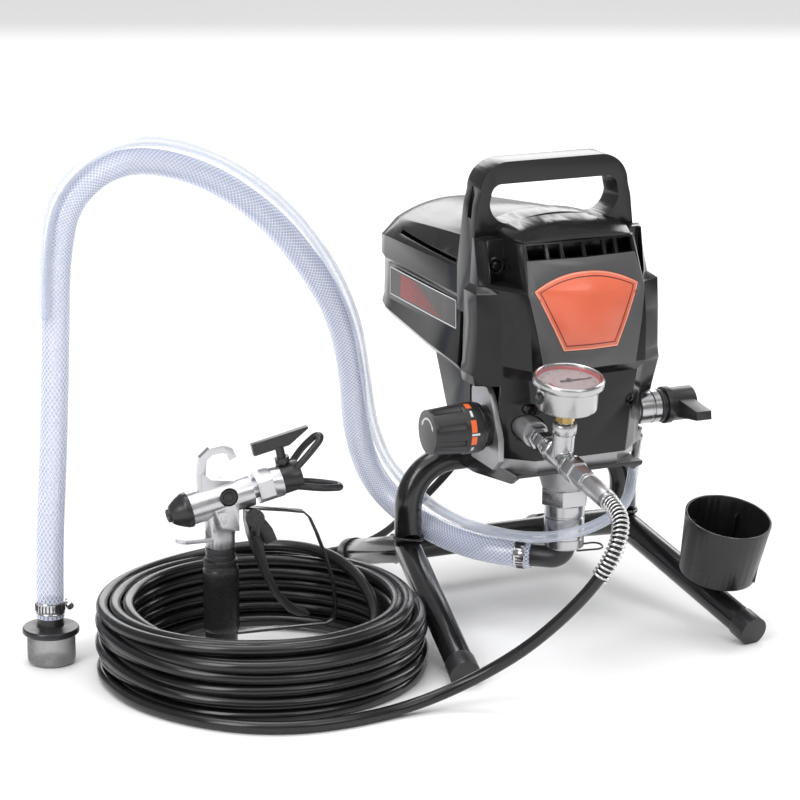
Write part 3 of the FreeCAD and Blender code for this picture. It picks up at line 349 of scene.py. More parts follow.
# ---- power cord ----
# Black rubber mains lead, 7.5 mm thick and 1.8 m long. It hangs from the hood's
# gland, lies behind the stand and is wound into a small coil with its plug on top.
LEAD_ROUTE = [stand(*p) for p in (
    (30, 100, 226), (30, 100, 190), (19, 105, 150), (-4, 113, 114), (-30, 124, 80), (-50, 148, 48),
    (-62, 178, 20), (-84, 198, 5), (-112, 199, 4), (-143, 186, 4), (-174, 168, 4), (-203, 161, 4))]
LEAD_X, LEAD_Y = -203, 112
LEAD_TURN, LEAD_GAP, LEAD_RISE = 46, 7.6, 7.55
lead_wound = []
for level in range(2):
    layers = (0, 1, 2) if level == 0 else (2, 1, 0)
    for count, layer in enumerate(layers):
        radius = LEAD_TURN - LEAD_GAP * layer
        climbs = count == 2
        after = radius if climbs else LEAD_TURN - LEAD_GAP * layers[count + 1]
        for step in range(TURN_STEPS):
            if level and climbs and step > 5:
                continue
            share = max(0.0, (step - 9) / 5)
            share = share * share * (3 - 2 * share)
            r = radius + (after - radius) * share - (1.2 * math.sin(math.pi * share) if climbs else 0)
            height = 3.9 + LEAD_RISE * level + (LEAD_RISE * share if climbs and not level else 0)
            angle = math.radians(112) + 2 * math.pi * step / TURN_STEPS
            lead_wound.append(stand(LEAD_X + r / SPLINE_PULL * math.cos(angle),
                                    LEAD_Y + r / SPLINE_PULL * math.sin(angle), height))
lead_wound += [stand(LEAD_X + x, LEAD_Y + y, z) for x, y, z in (
    (2, -51, 13.5), (20, -51.5, 15.5), (36, -44, 18), (44.5, -28, 20.2), (44.5, -12, 22), (34, 4, 23.1),
    (18, 9, 23.4), (2, 9, 23.4))]
lead_points = LEAD_ROUTE + lead_wound
power_cord = laid_line("mains_lead", lead_points, 0.00375, 5)
stands_for(power_cord, "power_cord", moulded_finish("lead_rubber", (0.018, 0.018, 0.019), 0.45, grain=700,
                                                    bump=0.06, mottle=0.2))
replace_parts(power_cord, "power_cord_coil")


# ---- spring guard and hose ends ----
# A chrome wire spring is wound round the hose where it leaves the gauge block
# and stops it kinking. Each hose end has a swivel nut and a crimped sleeve.
def dressed(node, name, edge=0.0008, angle=30, segments=3, flat=1.0):
    """A copy of a CAD piece with its triangles merged to faces and its edges rounded."""
    net = bmesh.new()
    net.from_mesh(frame["nodes"][node].data)
    bmesh.ops.remove_doubles(net, verts=net.verts, dist=0.00001)
    bmesh.ops.dissolve_limit(net, angle_limit=math.radians(flat), verts=net.verts, edges=net.edges)
    mesh = bpy.data.meshes.new(name)
    net.to_mesh(mesh)
    net.free()
    for face in mesh.polygons:
        face.use_smooth = True
    piece = bpy.data.objects.new(name, mesh)
    scene.collection.objects.link(piece)
    rounding = piece.modifiers.new("rounded_edges", "BEVEL")
    rounding.width, rounding.segments = edge, segments
    rounding.limit_method, rounding.angle_limit = "ANGLE", math.radians(angle)
    rounding.harden_normals = True
    rounding.use_clamp_overlap = True
    return piece


def from_net(net, name, smooth=40):
    """A finished mesh piece from a bmesh, shaded smooth up to the given angle."""
    bmesh.ops.recalc_face_normals(net, faces=net.faces)
    mesh = bpy.data.meshes.new(name)
    net.to_mesh(mesh)
    net.free()
    for face in mesh.polygons:
        face.use_smooth = True
    mesh.set_sharp_from_angle(angle=math.radians(smooth))
    piece = bpy.data.objects.new(name, mesh)
    scene.collection.objects.link(piece)
    return piece


def turned(name, start, along, profile, steps=48, smooth=40):
    """A lathe-turned piece: (distance, radius) in millimetres along an axis from a start."""
    net = bmesh.new()
    axis = along.normalized()
    side = axis.orthogonal().normalized()
    line = [net.verts.new(start + (axis * d + side * r) / 1000) for d, r in profile]
    edges = [net.edges.new(pair) for pair in zip(line, line[1:])]
    bmesh.ops.spin(net, geom=line + edges, cent=start, axis=axis, angle=2 * math.pi,
                   steps=steps, use_merge=True)
    bmesh.ops.remove_doubles(net, verts=net.verts, dist=0.000005)
    return from_net(net, name, smooth)


chrome = moulded_finish("plated_chrome", (0.66, 0.66, 0.67), 0.13, metal=1.0, grain=300, bump=0.02, mottle=0.04,
                        spread=0.04)
zinc = moulded_finish("zinc_plate", (0.5, 0.5, 0.51), 0.28, metal=1.0, grain=420, bump=0.06, mottle=0.08, spread=0.06)
run = Vector((0, -math.cos(math.radians(9)), -math.sin(math.radians(9))))
outlet = stand(-49, -125, 206)
gauge_up = Vector((0, -math.sin(math.radians(9)), math.cos(math.radians(9))))


def turning_frames(points):
    """A side direction at each point that turns with the line and doesn't twist."""
    sides = []
    ahead = (points[1] - points[0]).normalized()
    side = ahead.orthogonal().normalized()
    for i, point in enumerate(points):
        before, after = points[max(0, i - 1)], points[min(len(points) - 1, i + 1)]
        new = (after - before).normalized()
        side = ahead.rotation_difference(new) @ side
        side = (side - new * side.dot(new)).normalized()
        ahead = new
        sides.append((side, new.cross(side)))
    return sides


GUARD_LENGTH, GUARD_PITCH, GUARD_R = 0.082, 0.0040, 0.0068
frames = turning_frames(hose_line[:200])
coils, walked, wanted = [], 0.0, 0.0
for i in range(199):
    step = (hose_line[i + 1] - hose_line[i]).length
    while wanted <= walked + step and wanted < GUARD_LENGTH:
        share = (wanted - walked) / step
        here = hose_line[i].lerp(hose_line[i + 1], share)
        turn = 2 * math.pi * wanted / GUARD_PITCH
        u = frames[i][0].lerp(frames[i + 1][0], share)
        v = frames[i][1].lerp(frames[i + 1][1], share)
        coils.append(here + (u * math.cos(turn) + v * math.sin(turn)) * GUARD_R)
        wanted += GUARD_PITCH / 12
    walked += step
spring_guard = laid_line("hose_spring_guard", coils, 0.0012, 2)
stands_for(spring_guard, "spring_guard", chrome)

coupling = dressed("hose_coupling", "hose_swivel_coupling", 0.0006)
stands_for(coupling, "hose_coupling", zinc)
sleeve = turned("crimped_sleeve", outlet + run * 0.118, run,
                [(0, 5.7), (0, 8.3), (1, 8.9), (4, 8.9), (5, 8.3), (6, 8.3), (6.6, 8.75), (36, 8.75), (37, 8.4),
                 (41, 8.3), (42.3, 7.4), (42.3, 5.7), (0, 5.7)])
sleeve_steel = moulded_finish("satin_sleeve", (0.62, 0.62, 0.63), 0.42, metal=1.0, grain=380, bump=0.08, mottle=0.1)
added_to(sleeve, "hose_coupling", sleeve_steel)
fitting_start = stand(-183.5, -58, 8.5)
hose_end = turned("hose_end_sleeve", fitting_start, Vector((0, -1, 0)),
                  [(0, 5.6), (0, 7.1), (1, 7.45), (20, 7.45), (21, 6.2), (27.5, 6.2), (27.5, 0)])
stands_for(hose_end, "hose_end_fitting", sleeve_steel)
end_nut = bmesh.new()
bmesh.ops.create_cone(end_nut, cap_ends=True, segments=6, radius1=0.00835, radius2=0.00835, depth=0.016,
                      matrix=Matrix.Translation(stand(-183.5, -93.4, 8.5)) @ Matrix.Rotation(math.pi / 2, 4,
                              "X") @ Matrix.Rotation(math.pi / 6, 4, "Z"))
bmesh.ops.bevel(end_nut, geom=end_nut.edges[:], offset=0.0006, segments=2, affect="EDGES", profile=0.5, material=-1)
added_to(from_net(end_nut, "hose_end_nut", 30), "hose_end_fitting", zinc)


# ---- mains plug and gland ----
# The lead leaves the hood through a tapered rubber gland and ends in a plain
# moulded two-pin plug that lies on its coil.
rubber = moulded_finish("moulded_rubber", (0.02, 0.02, 0.021), 0.5, grain=800, bump=0.1, mottle=0.2)
gland = dressed("cord_gland", "lead_gland", 0.0008)
stands_for(gland, "cord_gland", rubber)
plug_low = stand(-203, 121, 15.4)
plug = bmesh.new()
bmesh.ops.create_cube(plug, size=1, matrix=Matrix.Translation(plug_low + Vector((-0.026, 0,
        0.008))) @ Matrix.Diagonal((0.036, 0.0195, 0.0155, 1)))
front = [f for f in plug.faces if f.normal.x > 0.9]
neck = bmesh.ops.extrude_face_region(plug, geom=front)
lip = [v for v in neck["geom"] if isinstance(v, bmesh.types.BMVert)]
bmesh.ops.translate(plug, verts=lip, vec=(0.0115, 0, 0))
bmesh.ops.scale(plug, verts=lip, vec=(1, 0.5, 0.62), space=Matrix.Translation(-(plug_low + Vector((0, 0, 0.008)))))
bmesh.ops.delete(plug, geom=front, context="FACES")
bmesh.ops.bevel(plug, geom=plug.edges[:], offset=0.0024, segments=3, affect="EDGES", profile=0.5, material=-1)
plug_body = from_net(plug, "mains_plug", 50)
stands_for(plug_body, "power_plug", rubber)
for side in (-6, 6):
    pin = turned("plug_pin_%s" % ("a" if side < 0 else "b"), plug_low + Vector((-0.062, side / 1000, 0.008)),
                 Vector((1, 0, 0)),
                 [(0, 0), (0, 1.6), (0.8, 2.3), (6, 2.4), (18.5, 2.4)], 20)
    added_to(pin, "power_plug", chrome)


# ---- strainer and hose clamps ----
# A black plastic disc closes a cup of perforated steel at the end of the suction
# hose. Stainless worm clamps hold the hose at both ends.
mesh_foot = stand(-453.8, 12, 0)
satin_black = moulded_finish("moulded_black", (0.022, 0.022, 0.024), 0.32, grain=700, bump=0.07, mottle=0.15)
strainer_disc = turned("strainer_disc", mesh_foot, Vector((0, 0, 1)),
                       [(27, 0), (27, 24), (28.2, 25.4), (31.8, 25.4), (33, 24.4), (33, 14), (34, 12), (42, 11.6),
                        (42, 9), (34, 9), (34, 0)])
stands_for(strainer_disc, "strainer_cap", satin_black)
cup_net = bmesh.new()
profile = [(27, 21.2), (3.4, 21.2), (1.4, 20.4), (0.35, 18.6), (0.35, 15), (0.35, 11.5), (0.35, 8), (0.35, 4.5),
           (0.35, 1.5)]
rows = [(27 - 1.75 * i, 21.2) for i in range(14)] + profile[2:]
line = [cup_net.verts.new(mesh_foot + Vector((r / 1000, 0, h / 1000))) for h, r in rows]
edges = [cup_net.edges.new(pair) for pair in zip(line, line[1:])]
bmesh.ops.spin(cup_net, geom=line + edges, cent=mesh_foot, axis=(0, 0, 1), angle=2 * math.pi, steps=60,
               use_merge=True)
bmesh.ops.remove_doubles(cup_net, verts=cup_net.verts, dist=0.000002)
bmesh.ops.poke(cup_net, faces=cup_net.faces[:])
strainer_cup = from_net(cup_net, "strainer_cup", 180)
wires = strainer_cup.modifiers.new("woven_wire", "WIREFRAME")
wires.thickness, wires.use_even_offset = 0.00055, False
stands_for(strainer_cup, "strainer_mesh", moulded_finish("woven_steel", (0.55, 0.55, 0.55), 0.3, metal=1.0,
                                                         grain=500, bump=0.05))
clamp_steel = moulded_finish("stainless_band", (0.66, 0.66, 0.68), 0.2, metal=1.0, grain=260, bump=0.05, mottle=0.1)
first = (SUCTION_ROUTE[1] - SUCTION_ROUTE[0]).normalized()
last = (SUCTION_ROUTE[-2] - SUCTION_ROUTE[-1]).normalized()
clamp_parts = []
for name, start, ahead in (("clamp_elbow", SUCTION_ROUTE[0], first), ("clamp_strainer", SUCTION_ROUTE[-1], last)):
    across = ahead.cross(Vector((0, 0, 1))) if abs(ahead.z) < 0.9 else Vector((1, 0, 0))
    across.normalize()
    side = ahead.cross(across)
    band = turned(name + "_band", start + ahead * 0.004, ahead,
                  [(0, 12.55), (0, 13.3), (0.7, 13.55), (1.4, 13.1), (9.6, 13.1), (10.3, 13.55), (11, 13.3),
                   (11, 12.55), (0, 12.55)], 64)
    worm_at = start + ahead * 0.0095 + across * 0.0163
    worm = turned(name + "_worm", worm_at - side * 0.0078, side,
                  [(0, 0), (0, 2.6), (0.8, 3.4), (3.6, 3.5), (4.2, 3.0), (12, 3.0), (12.6, 3.5), (14.6, 3.5),
                   (15.6, 2.6), (15.6, 0)], 24)
    teeth = bmesh.new()
    for k in range(26):
        angle = 2 * math.pi * k / 26
        out = across * math.cos(angle) + side * math.sin(angle)
        if abs(angle) < 0.4 or abs(angle - 2 * math.pi) < 0.4:
            continue
        turn = Matrix((out, ahead.cross(out), ahead)).transposed().to_4x4()
        bmesh.ops.create_cube(teeth, size=1,
                              matrix=Matrix.Translation(start + ahead * 0.0095
                                      + out * 0.01325) @ turn @ Matrix.Diagonal((0.0006, 0.0011, 0.0062, 1)))
    grooves = from_net(teeth, name + "_thread", 30)
    for piece in (band, worm, grooves):
        added_to(piece, "hose_clamps", clamp_steel if piece is not grooves else satin_black)
    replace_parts(band, "hose_clamps")
    clamp_parts += [band, worm, grooves]


# ---- tube stand ----
# Four sloping legs and an inverted U arch of 25 mm steel tube, welded where they
# meet and powder coated gloss black. Plastic caps close the open ends.
powder = moulded_finish("powder_coat", (0.011, 0.011, 0.012), 0.2, grain=650, bump=0.16, mottle=0.15, spread=0.05,
                        coat=0.3)
legs = dressed("stand_legs", "tube_legs", 0.0006)
stands_for(legs, "stand_legs", powder)
arch = dressed("stand_arch", "tube_arch", 0.0006)
stands_for(arch, "stand_arch", powder)
caps = dressed("leg_end_caps", "leg_caps", 0.0014, segments=4)
stands_for(caps, "leg_end_caps", satin_black)


def weld_bead(name, centre, axis, radius, squash, node):
    """A rippled ring of weld metal where one tube is saddled on another."""
    side = axis.orthogonal().normalized()
    up = axis.cross(side)
    ring = []
    for k in range(73):
        angle = 2 * math.pi * k / 72
        ripple = 1 + 0.03 * math.sin(angle * 24)
        ring.append(centre + (side * math.cos(angle) + up * math.sin(angle)) * radius * ripple
                    + axis * squash * abs(math.cos(angle)))
    bead = laid_line(name, ring, 0.0017, 2)
    return added_to(bead, node, powder)


for side in (-1, 1):
    weld_bead("arch_weld_%s" % ("left" if side < 0 else "right"), stand(side * 111.4, 0, 75.5), Vector((0, 0, 1)),
              0.0131, 0.002, "stand_arch")
    foot, apex = stand(side * 100, 163.7, 12.5), stand(side * 111.4, 0, 65.3)
    joint = apex + (foot - apex) * 0.43
    weld_bead("tie_weld_%s" % ("left" if side < 0 else "right"), joint + Vector((-side * 0.0125, 0, 0)),
              Vector((side, 0, 0)), 0.0128, 0.001, "stand_legs")
plate = dressed("mounting_bracket", "bent_bracket", 0.0009)
stands_for(plate, "mounting_bracket", powder)


# ---- tip cup ----
# A moulded black cup on a stub post holds spare tips and catches drips. Four low
# ribs inside keep the tips off its wall.
cup = dressed("tip_cup", "drip_cup", 0.0009)
stands_for(cup, "tip_cup", moulded_finish("cup_plastic", (0.012, 0.012, 0.013), 0.3, grain=500, bump=0.06,
                                          mottle=0.2))


# ---- moulded housing ----
# Motor hood, front cover and carry handle are dark satin ABS mouldings with
# rounded edges. Crisp level breaks run round the cover. Slots vent its crown, and
# a thin dark sheet behind them is painted shade that makes the slots read dark inside.
housing = moulded_finish("satin_abs", (0.008, 0.0083, 0.009), 0.2, grain=1100, bump=0.04, mottle=0.06, spread=0.02,
                         patches=18)
hood = dressed("motor_hood", "motor_hood_shell", 0.0022, angle=24, segments=3)
housing.node_tree.nodes["Principled BSDF"].inputs["Specular IOR Level"].default_value = 0.34
stands_for(hood, "motor_hood", housing)
cover = dressed("front_cover", "front_cover_shell", 0.0011, angle=11, segments=2, flat=0.6)
stands_for(cover, "front_cover", housing)
crown_finish = moulded_finish("crown_abs", (0.01, 0.0104, 0.0112), 0.22, grain=900, bump=0.02, mottle=0.05,
                              spread=0.01, patches=20)
handle = dressed("handle_frame", "carry_handle", 0.0026, angle=28, segments=4)
stands_for(handle, "handle_frame", crown_finish)
# A dark sheet just under the crown slots: painted shade for the dark inside of the hood seen through the vents.
SHADE_SHEET_LEFT, SHADE_SHEET_WIDTH, SHADE_SHEET_WALL = -54, 0.109, 0.0008
shade_sheet = bmesh.new()
shade_sheet_line = [shade_sheet.verts.new(stand(SHADE_SHEET_LEFT, y, z)) for y, z in ((-97, 356), (-97, 366), (-96, 370.6))]
shade_sheet_edges = [shade_sheet.edges.new(pair) for pair in zip(shade_sheet_line, shade_sheet_line[1:])]
drawn = bmesh.ops.extrude_edge_only(shade_sheet, edges=shade_sheet_edges)["geom"]
bmesh.ops.translate(shade_sheet, vec=(SHADE_SHEET_WIDTH, 0, 0), verts=[v for v in drawn if isinstance(v, bmesh.types.BMVert)])
shade_sheet.normal_update()
bmesh.ops.solidify(shade_sheet, geom=shade_sheet.faces[:], thickness=SHADE_SHEET_WALL)
added_to(from_net(shade_sheet, "vent_painted_shade", 30), "front_cover", crown_finish)


# ---- front panel and label ----
# A mid-grey satin panel wraps the middle of the cover. An orange label with an
# arched top fills its seat, with a pale rim and a thin dark line printed inside.
panel_grey = moulded_finish("panel_abs", (0.085, 0.085, 0.088), 0.32, grain=900, bump=0.08, mottle=0.06,
                            spread=0.05, patches=16)
panel = dressed("front_trim", "front_panel", 0.0004, angle=24, segments=2)
stands_for(panel, "front_trim", panel_grey)
label_ink = moulded_finish("orange_label", (0.76, 0.15, 0.075), 0.32, grain=600, bump=0.03, mottle=0.05,
                           spread=0.04, coat=0.15)
label = dressed("front_badge", "front_label", 0.00025, angle=40, segments=1)
stands_for(label, "front_badge", label_ink)
face_net = bmesh.new()
face_net.from_mesh(frame["nodes"]["front_badge"].data)
label_skin = BVHTree.FromBMesh(face_net)
face_net.free()


def label_edge(inset):
    """Points round the label's outline, a little inside it, in millimetres."""
    left, top, low, half_low = 51 - inset * 1.18, 333 - inset * 0.35, 279 + inset, 26.5 - inset * 0.62
    rise = 347 - inset
    points = [(left - 2 * left * k / 24, top + (rise - top) * (1 - (1 - k / 12) ** 2)) for k in range(25)]
    points += [(-left + (left - half_low) * k / 10, top + (low - top) * k / 10) for k in range(1, 11)]
    points += [(-half_low + 2 * half_low * k / 10, low) for k in range(1, 11)]
    points += [(half_low + (left - half_low) * k / 10, low + (top - low) * k / 10) for k in range(1, 10)]
    return points


def printed_ring(name, outer, inner, lift, material):
    """A printed line between two outlines, laid on the label's face."""
    net = bmesh.new()
    rings = []
    for inset in (outer, inner):
        ring = []
        for x, z in label_edge(inset):
            spot = stand(x, -165, z)
            hit = label_skin.ray_cast(spot, Vector((0, 1, 0)))[0]
            if hit is None:
                hit = label_skin.find_nearest(spot)[0]
            ring.append(net.verts.new(hit + Vector((0, -lift, 0))))
        rings.append(ring)
    count = len(rings[0])
    for k in range(count):
        n = (k + 1) % count
        net.faces.new((rings[0][k], rings[0][n], rings[1][n], rings[1][k]))
    net.normal_update()
    bmesh.ops.solidify(net, geom=net.faces[:], thickness=0.00006)
    return added_to(from_net(net, name, 30), "front_badge", material)


printed_ring("label_rim", 0.25, 1.7, 0.00012, moulded_finish("pale_ink", (0.82, 0.34, 0.24), 0.35, grain=500,
                                                             bump=0.03, mottle=0.04))
printed_ring("label_line", 4.0, 4.9, 0.00014, moulded_finish("dark_ink", (0.12, 0.03, 0.03), 0.4, grain=500,
                                                             bump=0.03))


# ---- pockets, screws and vents ----
# Button head screws sit in round bosses in the glossy pockets beside the panel,
# and two more in the lower recesses. Four hold the casting to the bracket.
gloss_black = moulded_finish("gloss_black", (0.012, 0.012, 0.013), 0.14, grain=300, bump=0.03, mottle=0.15,
                             spread=0.04)
screw_black = moulded_finish("black_oxide", (0.03, 0.03, 0.032), 0.3, metal=0.7, grain=500, bump=0.06)
screw_heads = []
for name, x, y, z, away in (("left", -66.5, -88, 348, (0, -1, 0)), ("right", 66.5, -88, 348, (0, -1, 0)),
                            ("low_left", -50, -124, 224, (0, -1, 0)), ("low_right", 50, -124, 224, (0, -1, 0)),
                            ("base_a", -42, -88, 161.7, (0, 0, -1)), ("base_b", -42, -36, 161.7, (0, 0, -1)),
                            ("base_c", 42, -88, 161.7, (0, 0, -1)), ("base_d", 42, -36, 161.7, (0, 0, -1))):
    head = turned("screw_" + name, stand(x, y, z), Vector(away),
                  [(0, 0), (0, 5), (0.9, 4.95), (2.2, 4.2), (3.1, 3.1), (3.4, 2.3), (1.5, 2.2), (1.5, 0)], 30)
    added_to(head, "machine_screws", screw_black)
    screw_heads.append(head)
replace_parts(screw_heads[0], "machine_screws")
for side in (-1, 1):
    boss = turned("screw_boss_%s" % ("left" if side < 0 else "right"), stand(side * 66.5, -88.1, 348),
                  Vector((0, -1, 0)),
                  [(-0.4, 5.4), (2.4, 5.6), (3.2, 6.2), (3.2, 7.4), (2.4, 8.2), (-0.4, 8.6)], 40)
    added_to(boss, "front_cover", gloss_black)
    pocket = bmesh.new()
    bmesh.ops.create_grid(pocket, x_segments=4, y_segments=8, size=0.5,
                          matrix=Matrix.Translation(stand(side * 67, -88.15, 354)) @ Matrix.Rotation(math.pi / 2, 4,
                                  "X") @ Matrix.Diagonal((0.0172, 0.034, 1, 1)))
    pocket.normal_update()
    bmesh.ops.solidify(pocket, geom=pocket.faces[:], thickness=0.0001)
    added_to(from_net(pocket, "pocket_wall_%s" % ("left" if side < 0 else "right"), 30), "front_cover", gloss_black)


# ---- side bands ----
# A printed strip lies in the recess on each side of the hood: white outlines and
# red slanting dashes that taper towards the front. It carries no wording.
band_base = moulded_finish("band_film", (0.02, 0.02, 0.021), 0.28, grain=600, bump=0.03, mottle=0.1)
white_ink = moulded_finish("white_ink", (0.72, 0.72, 0.73), 0.4, grain=500, bump=0.02, mottle=0.04)
red_ink = moulded_finish("red_ink", (0.55, 0.02, 0.015), 0.35, grain=500, bump=0.02, mottle=0.08)


def side_x(y):
    """How far the recess lies from the middle at a distance from the front."""
    return (78.6 if y < 22 else 78.6 - 1.6 * (y - 22) / 104) + 0.35


def band_patch(net, sign, corners, lift):
    """One printed patch on the recess, given by its corners (y, z)."""
    verts = [net.verts.new(stand(sign * (side_x(y) + lift), y, z)) for y, z in corners]
    net.faces.new(verts)


for side in (-1, 1):
    tag = "left" if side < 0 else "right"
    base = bmesh.new()
    for y0, y1 in ((-34, 22), (22, 120)):
        band_patch(base, side, [(y0, 279), (y1, 279), (y1, 306), (y0, 306)], 0)
    added_to(from_net(base, "side_band_" + tag, 30), "motor_hood", band_base)
    lines = bmesh.new()
    for y0, y1 in ((-34, 22), (22, 120)):
        for low in (279.2, 304.9):
            band_patch(lines, side, [(y0, low), (y1, low), (y1, low + 1.1), (y0, low + 1.1)], 0.16)
    for y in (-34, 118.9):
        band_patch(lines, side, [(y, 279.2), (y + 1.1, 279.2), (y + 1.1, 306), (y, 306)], 0.16)
    added_to(from_net(lines, "band_lines_" + tag, 30), "motor_hood", white_ink)
    dashes = bmesh.new()
    for row in range(10):
        z = 302.2 - row * 2.15
        rear, fore = 94, 50 - 5.6 * row
        for y0, y1 in ((22, rear), (fore, 22)):
            if y0 < fore:
                y0 = fore
            if y1 <= y0:
                continue
            start = 0.4 + 0.75 * (y0 - fore) / (rear - fore)
            end = 0.4 + 0.75 * (y1 - fore) / (rear - fore)
            band_patch(dashes, side, [(y0, z - start / 2), (y1, z - end / 2), (y1, z + end / 2),
                                      (y0, z + start / 2)], 0.14)
    added_to(from_net(dashes, "band_dashes_" + tag, 30), "motor_hood", red_ink)


# ---- casting ----
# One rough sand-cast aluminium block carries the pump, the regulator ear and the
# prime valve. Its edges are softly broken and its skin is satin grey.
cast_skin = moulded_finish("sand_cast", (0.42, 0.42, 0.43), 0.42, metal=0.85, grain=420, bump=0.4, mottle=0.14,
                           spread=0.08, patches=60)
casting = dressed("gear_housing", "cast_gear_housing", 0.0016, angle=28, segments=3)
stands_for(casting, "gear_housing", cast_skin)


# ---- motor, drive and electrics ----
# Inside the hood: a brushed motor with its fan, a steel pinion and crank gear, a
# yoke rod for the piston, and a control board with its heat sink.
rolled = moulded_finish("rolled_steel", (0.3, 0.3, 0.31), 0.35, metal=0.9, grain=500, bump=0.1, mottle=0.1)
cut_steel = moulded_finish("cut_steel", (0.45, 0.45, 0.46), 0.22, metal=1.0, grain=600, bump=0.08, mottle=0.08)
green_board = moulded_finish("green_board", (0.01, 0.12, 0.05), 0.3, grain=300, bump=0.05, mottle=0.25)
for node, name, material in (("drive_motor", "motor_can", rolled), ("motor_rotor", "rotor_and_pinion", cut_steel),
                             ("cooling_fan", "radial_fan", satin_black), ("crank_gear", "crank_and_gear", cut_steel),
                             ("piston_rod", "yoke_and_rod", chrome), ("control_board", "speed_board", green_board),
                             ("power_switch", "switch_frame", satin_black), ("rod_packings", "packing_rings", rubber),
                             ("inlet_ball", "inlet_ball_steel", chrome)):
    stands_for(dressed(node, name, 0.0003, angle=35, segments=2), node, material)
rocker = dressed("switch_rocker", "rocker", 0.0008, angle=30, segments=3)
stands_for(rocker, "switch_rocker", gloss_black)


# ---- pump ----
# A polished steel cylinder hangs under the casting behind a hex packing nut. A
# black elbow with a wire clip joins the suction hose to its foot.
polished = moulded_finish("polished_steel", (0.5, 0.5, 0.51), 0.24, metal=1.0, grain=200, bump=0.03, mottle=0.06,
                          spread=0.05)
pump_axis = stand(0, -100, 0)
cylinder = turned("pump_barrel", pump_axis, Vector((0, 0, 1)),
                  [(83, 5), (83, 16.4), (84.6, 18), (92, 18.1), (92.6, 17.3), (95, 17.3), (95.6, 18.5), (112, 18.5),
                   (112.6, 17.8), (114, 17.8), (114.6, 18.5), (124, 18.5), (125, 17.6), (125, 9.7), (88, 9.7),
                   (88, 5), (83, 5)], 72)
stands_for(cylinder, "pump_cylinder", polished)
pump_nut = dressed("pump_nut", "packing_nut", 0.0012, angle=28, segments=3)
stands_for(pump_nut, "pump_nut", polished)
elbow = dressed("inlet_elbow", "inlet_elbow_and_clip", 0.0005, angle=35, segments=2)
stands_for(elbow, "inlet_elbow", satin_black)


# ---- outlet, tee and gauge ----
# Zinc-plated hex fittings carry the paint out to a tee, with a pressure gauge on
# its branch: chrome case and bezel, white dial with a red ring, black needle.
nipple = dressed("outlet_nipple", "outlet_union", 0.0006, angle=28, segments=2)
stands_for(nipple, "outlet_nipple", zinc)
tee = outlet + run * 0.0668
branch = dressed("gauge_tee", "gauge_tee_block", 0.0009, angle=28, segments=3)
stands_for(branch, "gauge_tee", zinc)
for name, start, along, rows in (
        ("tee_collar_back", outlet + run * 0.048, run, [(0, 7), (0, 10.4), (1, 11), (6, 11), (7, 10.2), (7.4, 9.9)]),
        ("tee_collar_front", outlet + run * 0.079, run, [(0, 9.9), (0.4, 10.2), (1.4, 11), (6, 11), (7, 10.4),
                                                         (7, 7)]),
        ("tee_collar_top", tee, gauge_up, [(24, 9.6), (24.4, 10.2), (25.4, 10.8), (32.6, 10.8), (33.9, 10),
                                           (33.9, 7)])):
    added_to(turned(name, start, along, rows, 48), "gauge_tee", zinc)
case = turned("gauge_case_turned", tee, gauge_up,
              [(34, 0), (34, 6.4), (34.6, 7.2), (47.6, 7.2), (48, 9), (48.4, 24), (49.6, 26.2), (51, 26.7),
               (68, 26.7), (70, 26.9),
               (70.5, 30.6), (71.4, 31.3), (76, 31.3), (77.3, 30.7), (78, 29.6), (77.8, 28.6), (77.2, 28.1),
               (72, 28), (72, 0)], 96)
case_steel = moulded_finish("bezel_steel", (0.5, 0.5, 0.5), 0.27, metal=1.0, grain=300, bump=0.04, mottle=0.06)
stands_for(case, "gauge_case", case_steel)
neck_brass = turned("gauge_neck", tee, gauge_up, [(35, 7.2), (35, 7.9), (36, 8.4), (42, 8.4), (43, 7.9), (43, 7.2)],
                    6, smooth=20)
added_to(neck_brass, "gauge_case", moulded_finish("neck_brass", (0.6, 0.42, 0.16), 0.25, metal=1.0, grain=400,
                                                  bump=0.05, mottle=0.1))
vent = turned("gauge_vent_plug", tee + gauge_up * 0.060 + Vector((-0.0262, 0, 0)), Vector((-1, 0, 0)),
              [(0, 5.4), (1.4, 5.4), (2.3, 4.6), (2.8, 3), (2.8, 0)], 28)
added_to(vent, "gauge_case", satin_black)
inner_ring = turned("gauge_red_ring", tee, gauge_up, [(73.05, 26.6), (74.4, 27.0), (76, 27.9), (73.05, 27.9),
                                                      (73.05, 26.6)], 96)
added_to(inner_ring, "gauge_dial", moulded_finish("red_ring", (0.6, 0.03, 0.03), 0.3, grain=400, bump=0.02))
dial = turned("gauge_dial_face", tee, gauge_up, [(72.1, 0), (72.1, 27.9), (73, 27.9), (73, 0)], 96)
stands_for(dial, "gauge_dial", moulded_finish("dial_enamel", (0.5, 0.43, 0.44), 0.5, grain=500, bump=0.02,
                                              mottle=0.03))
dial_x = Vector((1, 0, 0))
dial_y = gauge_up.cross(dial_x)


def dial_marks(name, first, last, steps, inner, outer, half, material, lift=0.00306):
    """Radial ticks printed on the dial, between two angles, lengths in millimetres."""
    net = bmesh.new()
    for k in range(steps + 1):
        angle = math.radians(first + (last - first) * k / steps)
        out = dial_x * math.cos(angle) + dial_y * math.sin(angle)
        turn = Matrix((out, gauge_up.cross(out), gauge_up)).transposed().to_4x4()
        spot = tee + gauge_up * (0.070 + lift) + out * (inner + outer) / 2000
        bmesh.ops.create_cube(net, size=1,
                              matrix=Matrix.Translation(spot) @ turn @ Matrix.Diagonal(((outer - inner) / 1000,
                                      half * 2 / 1000, 0.00008, 1)))
    return added_to(from_net(net, name, 20), "gauge_dial", material)


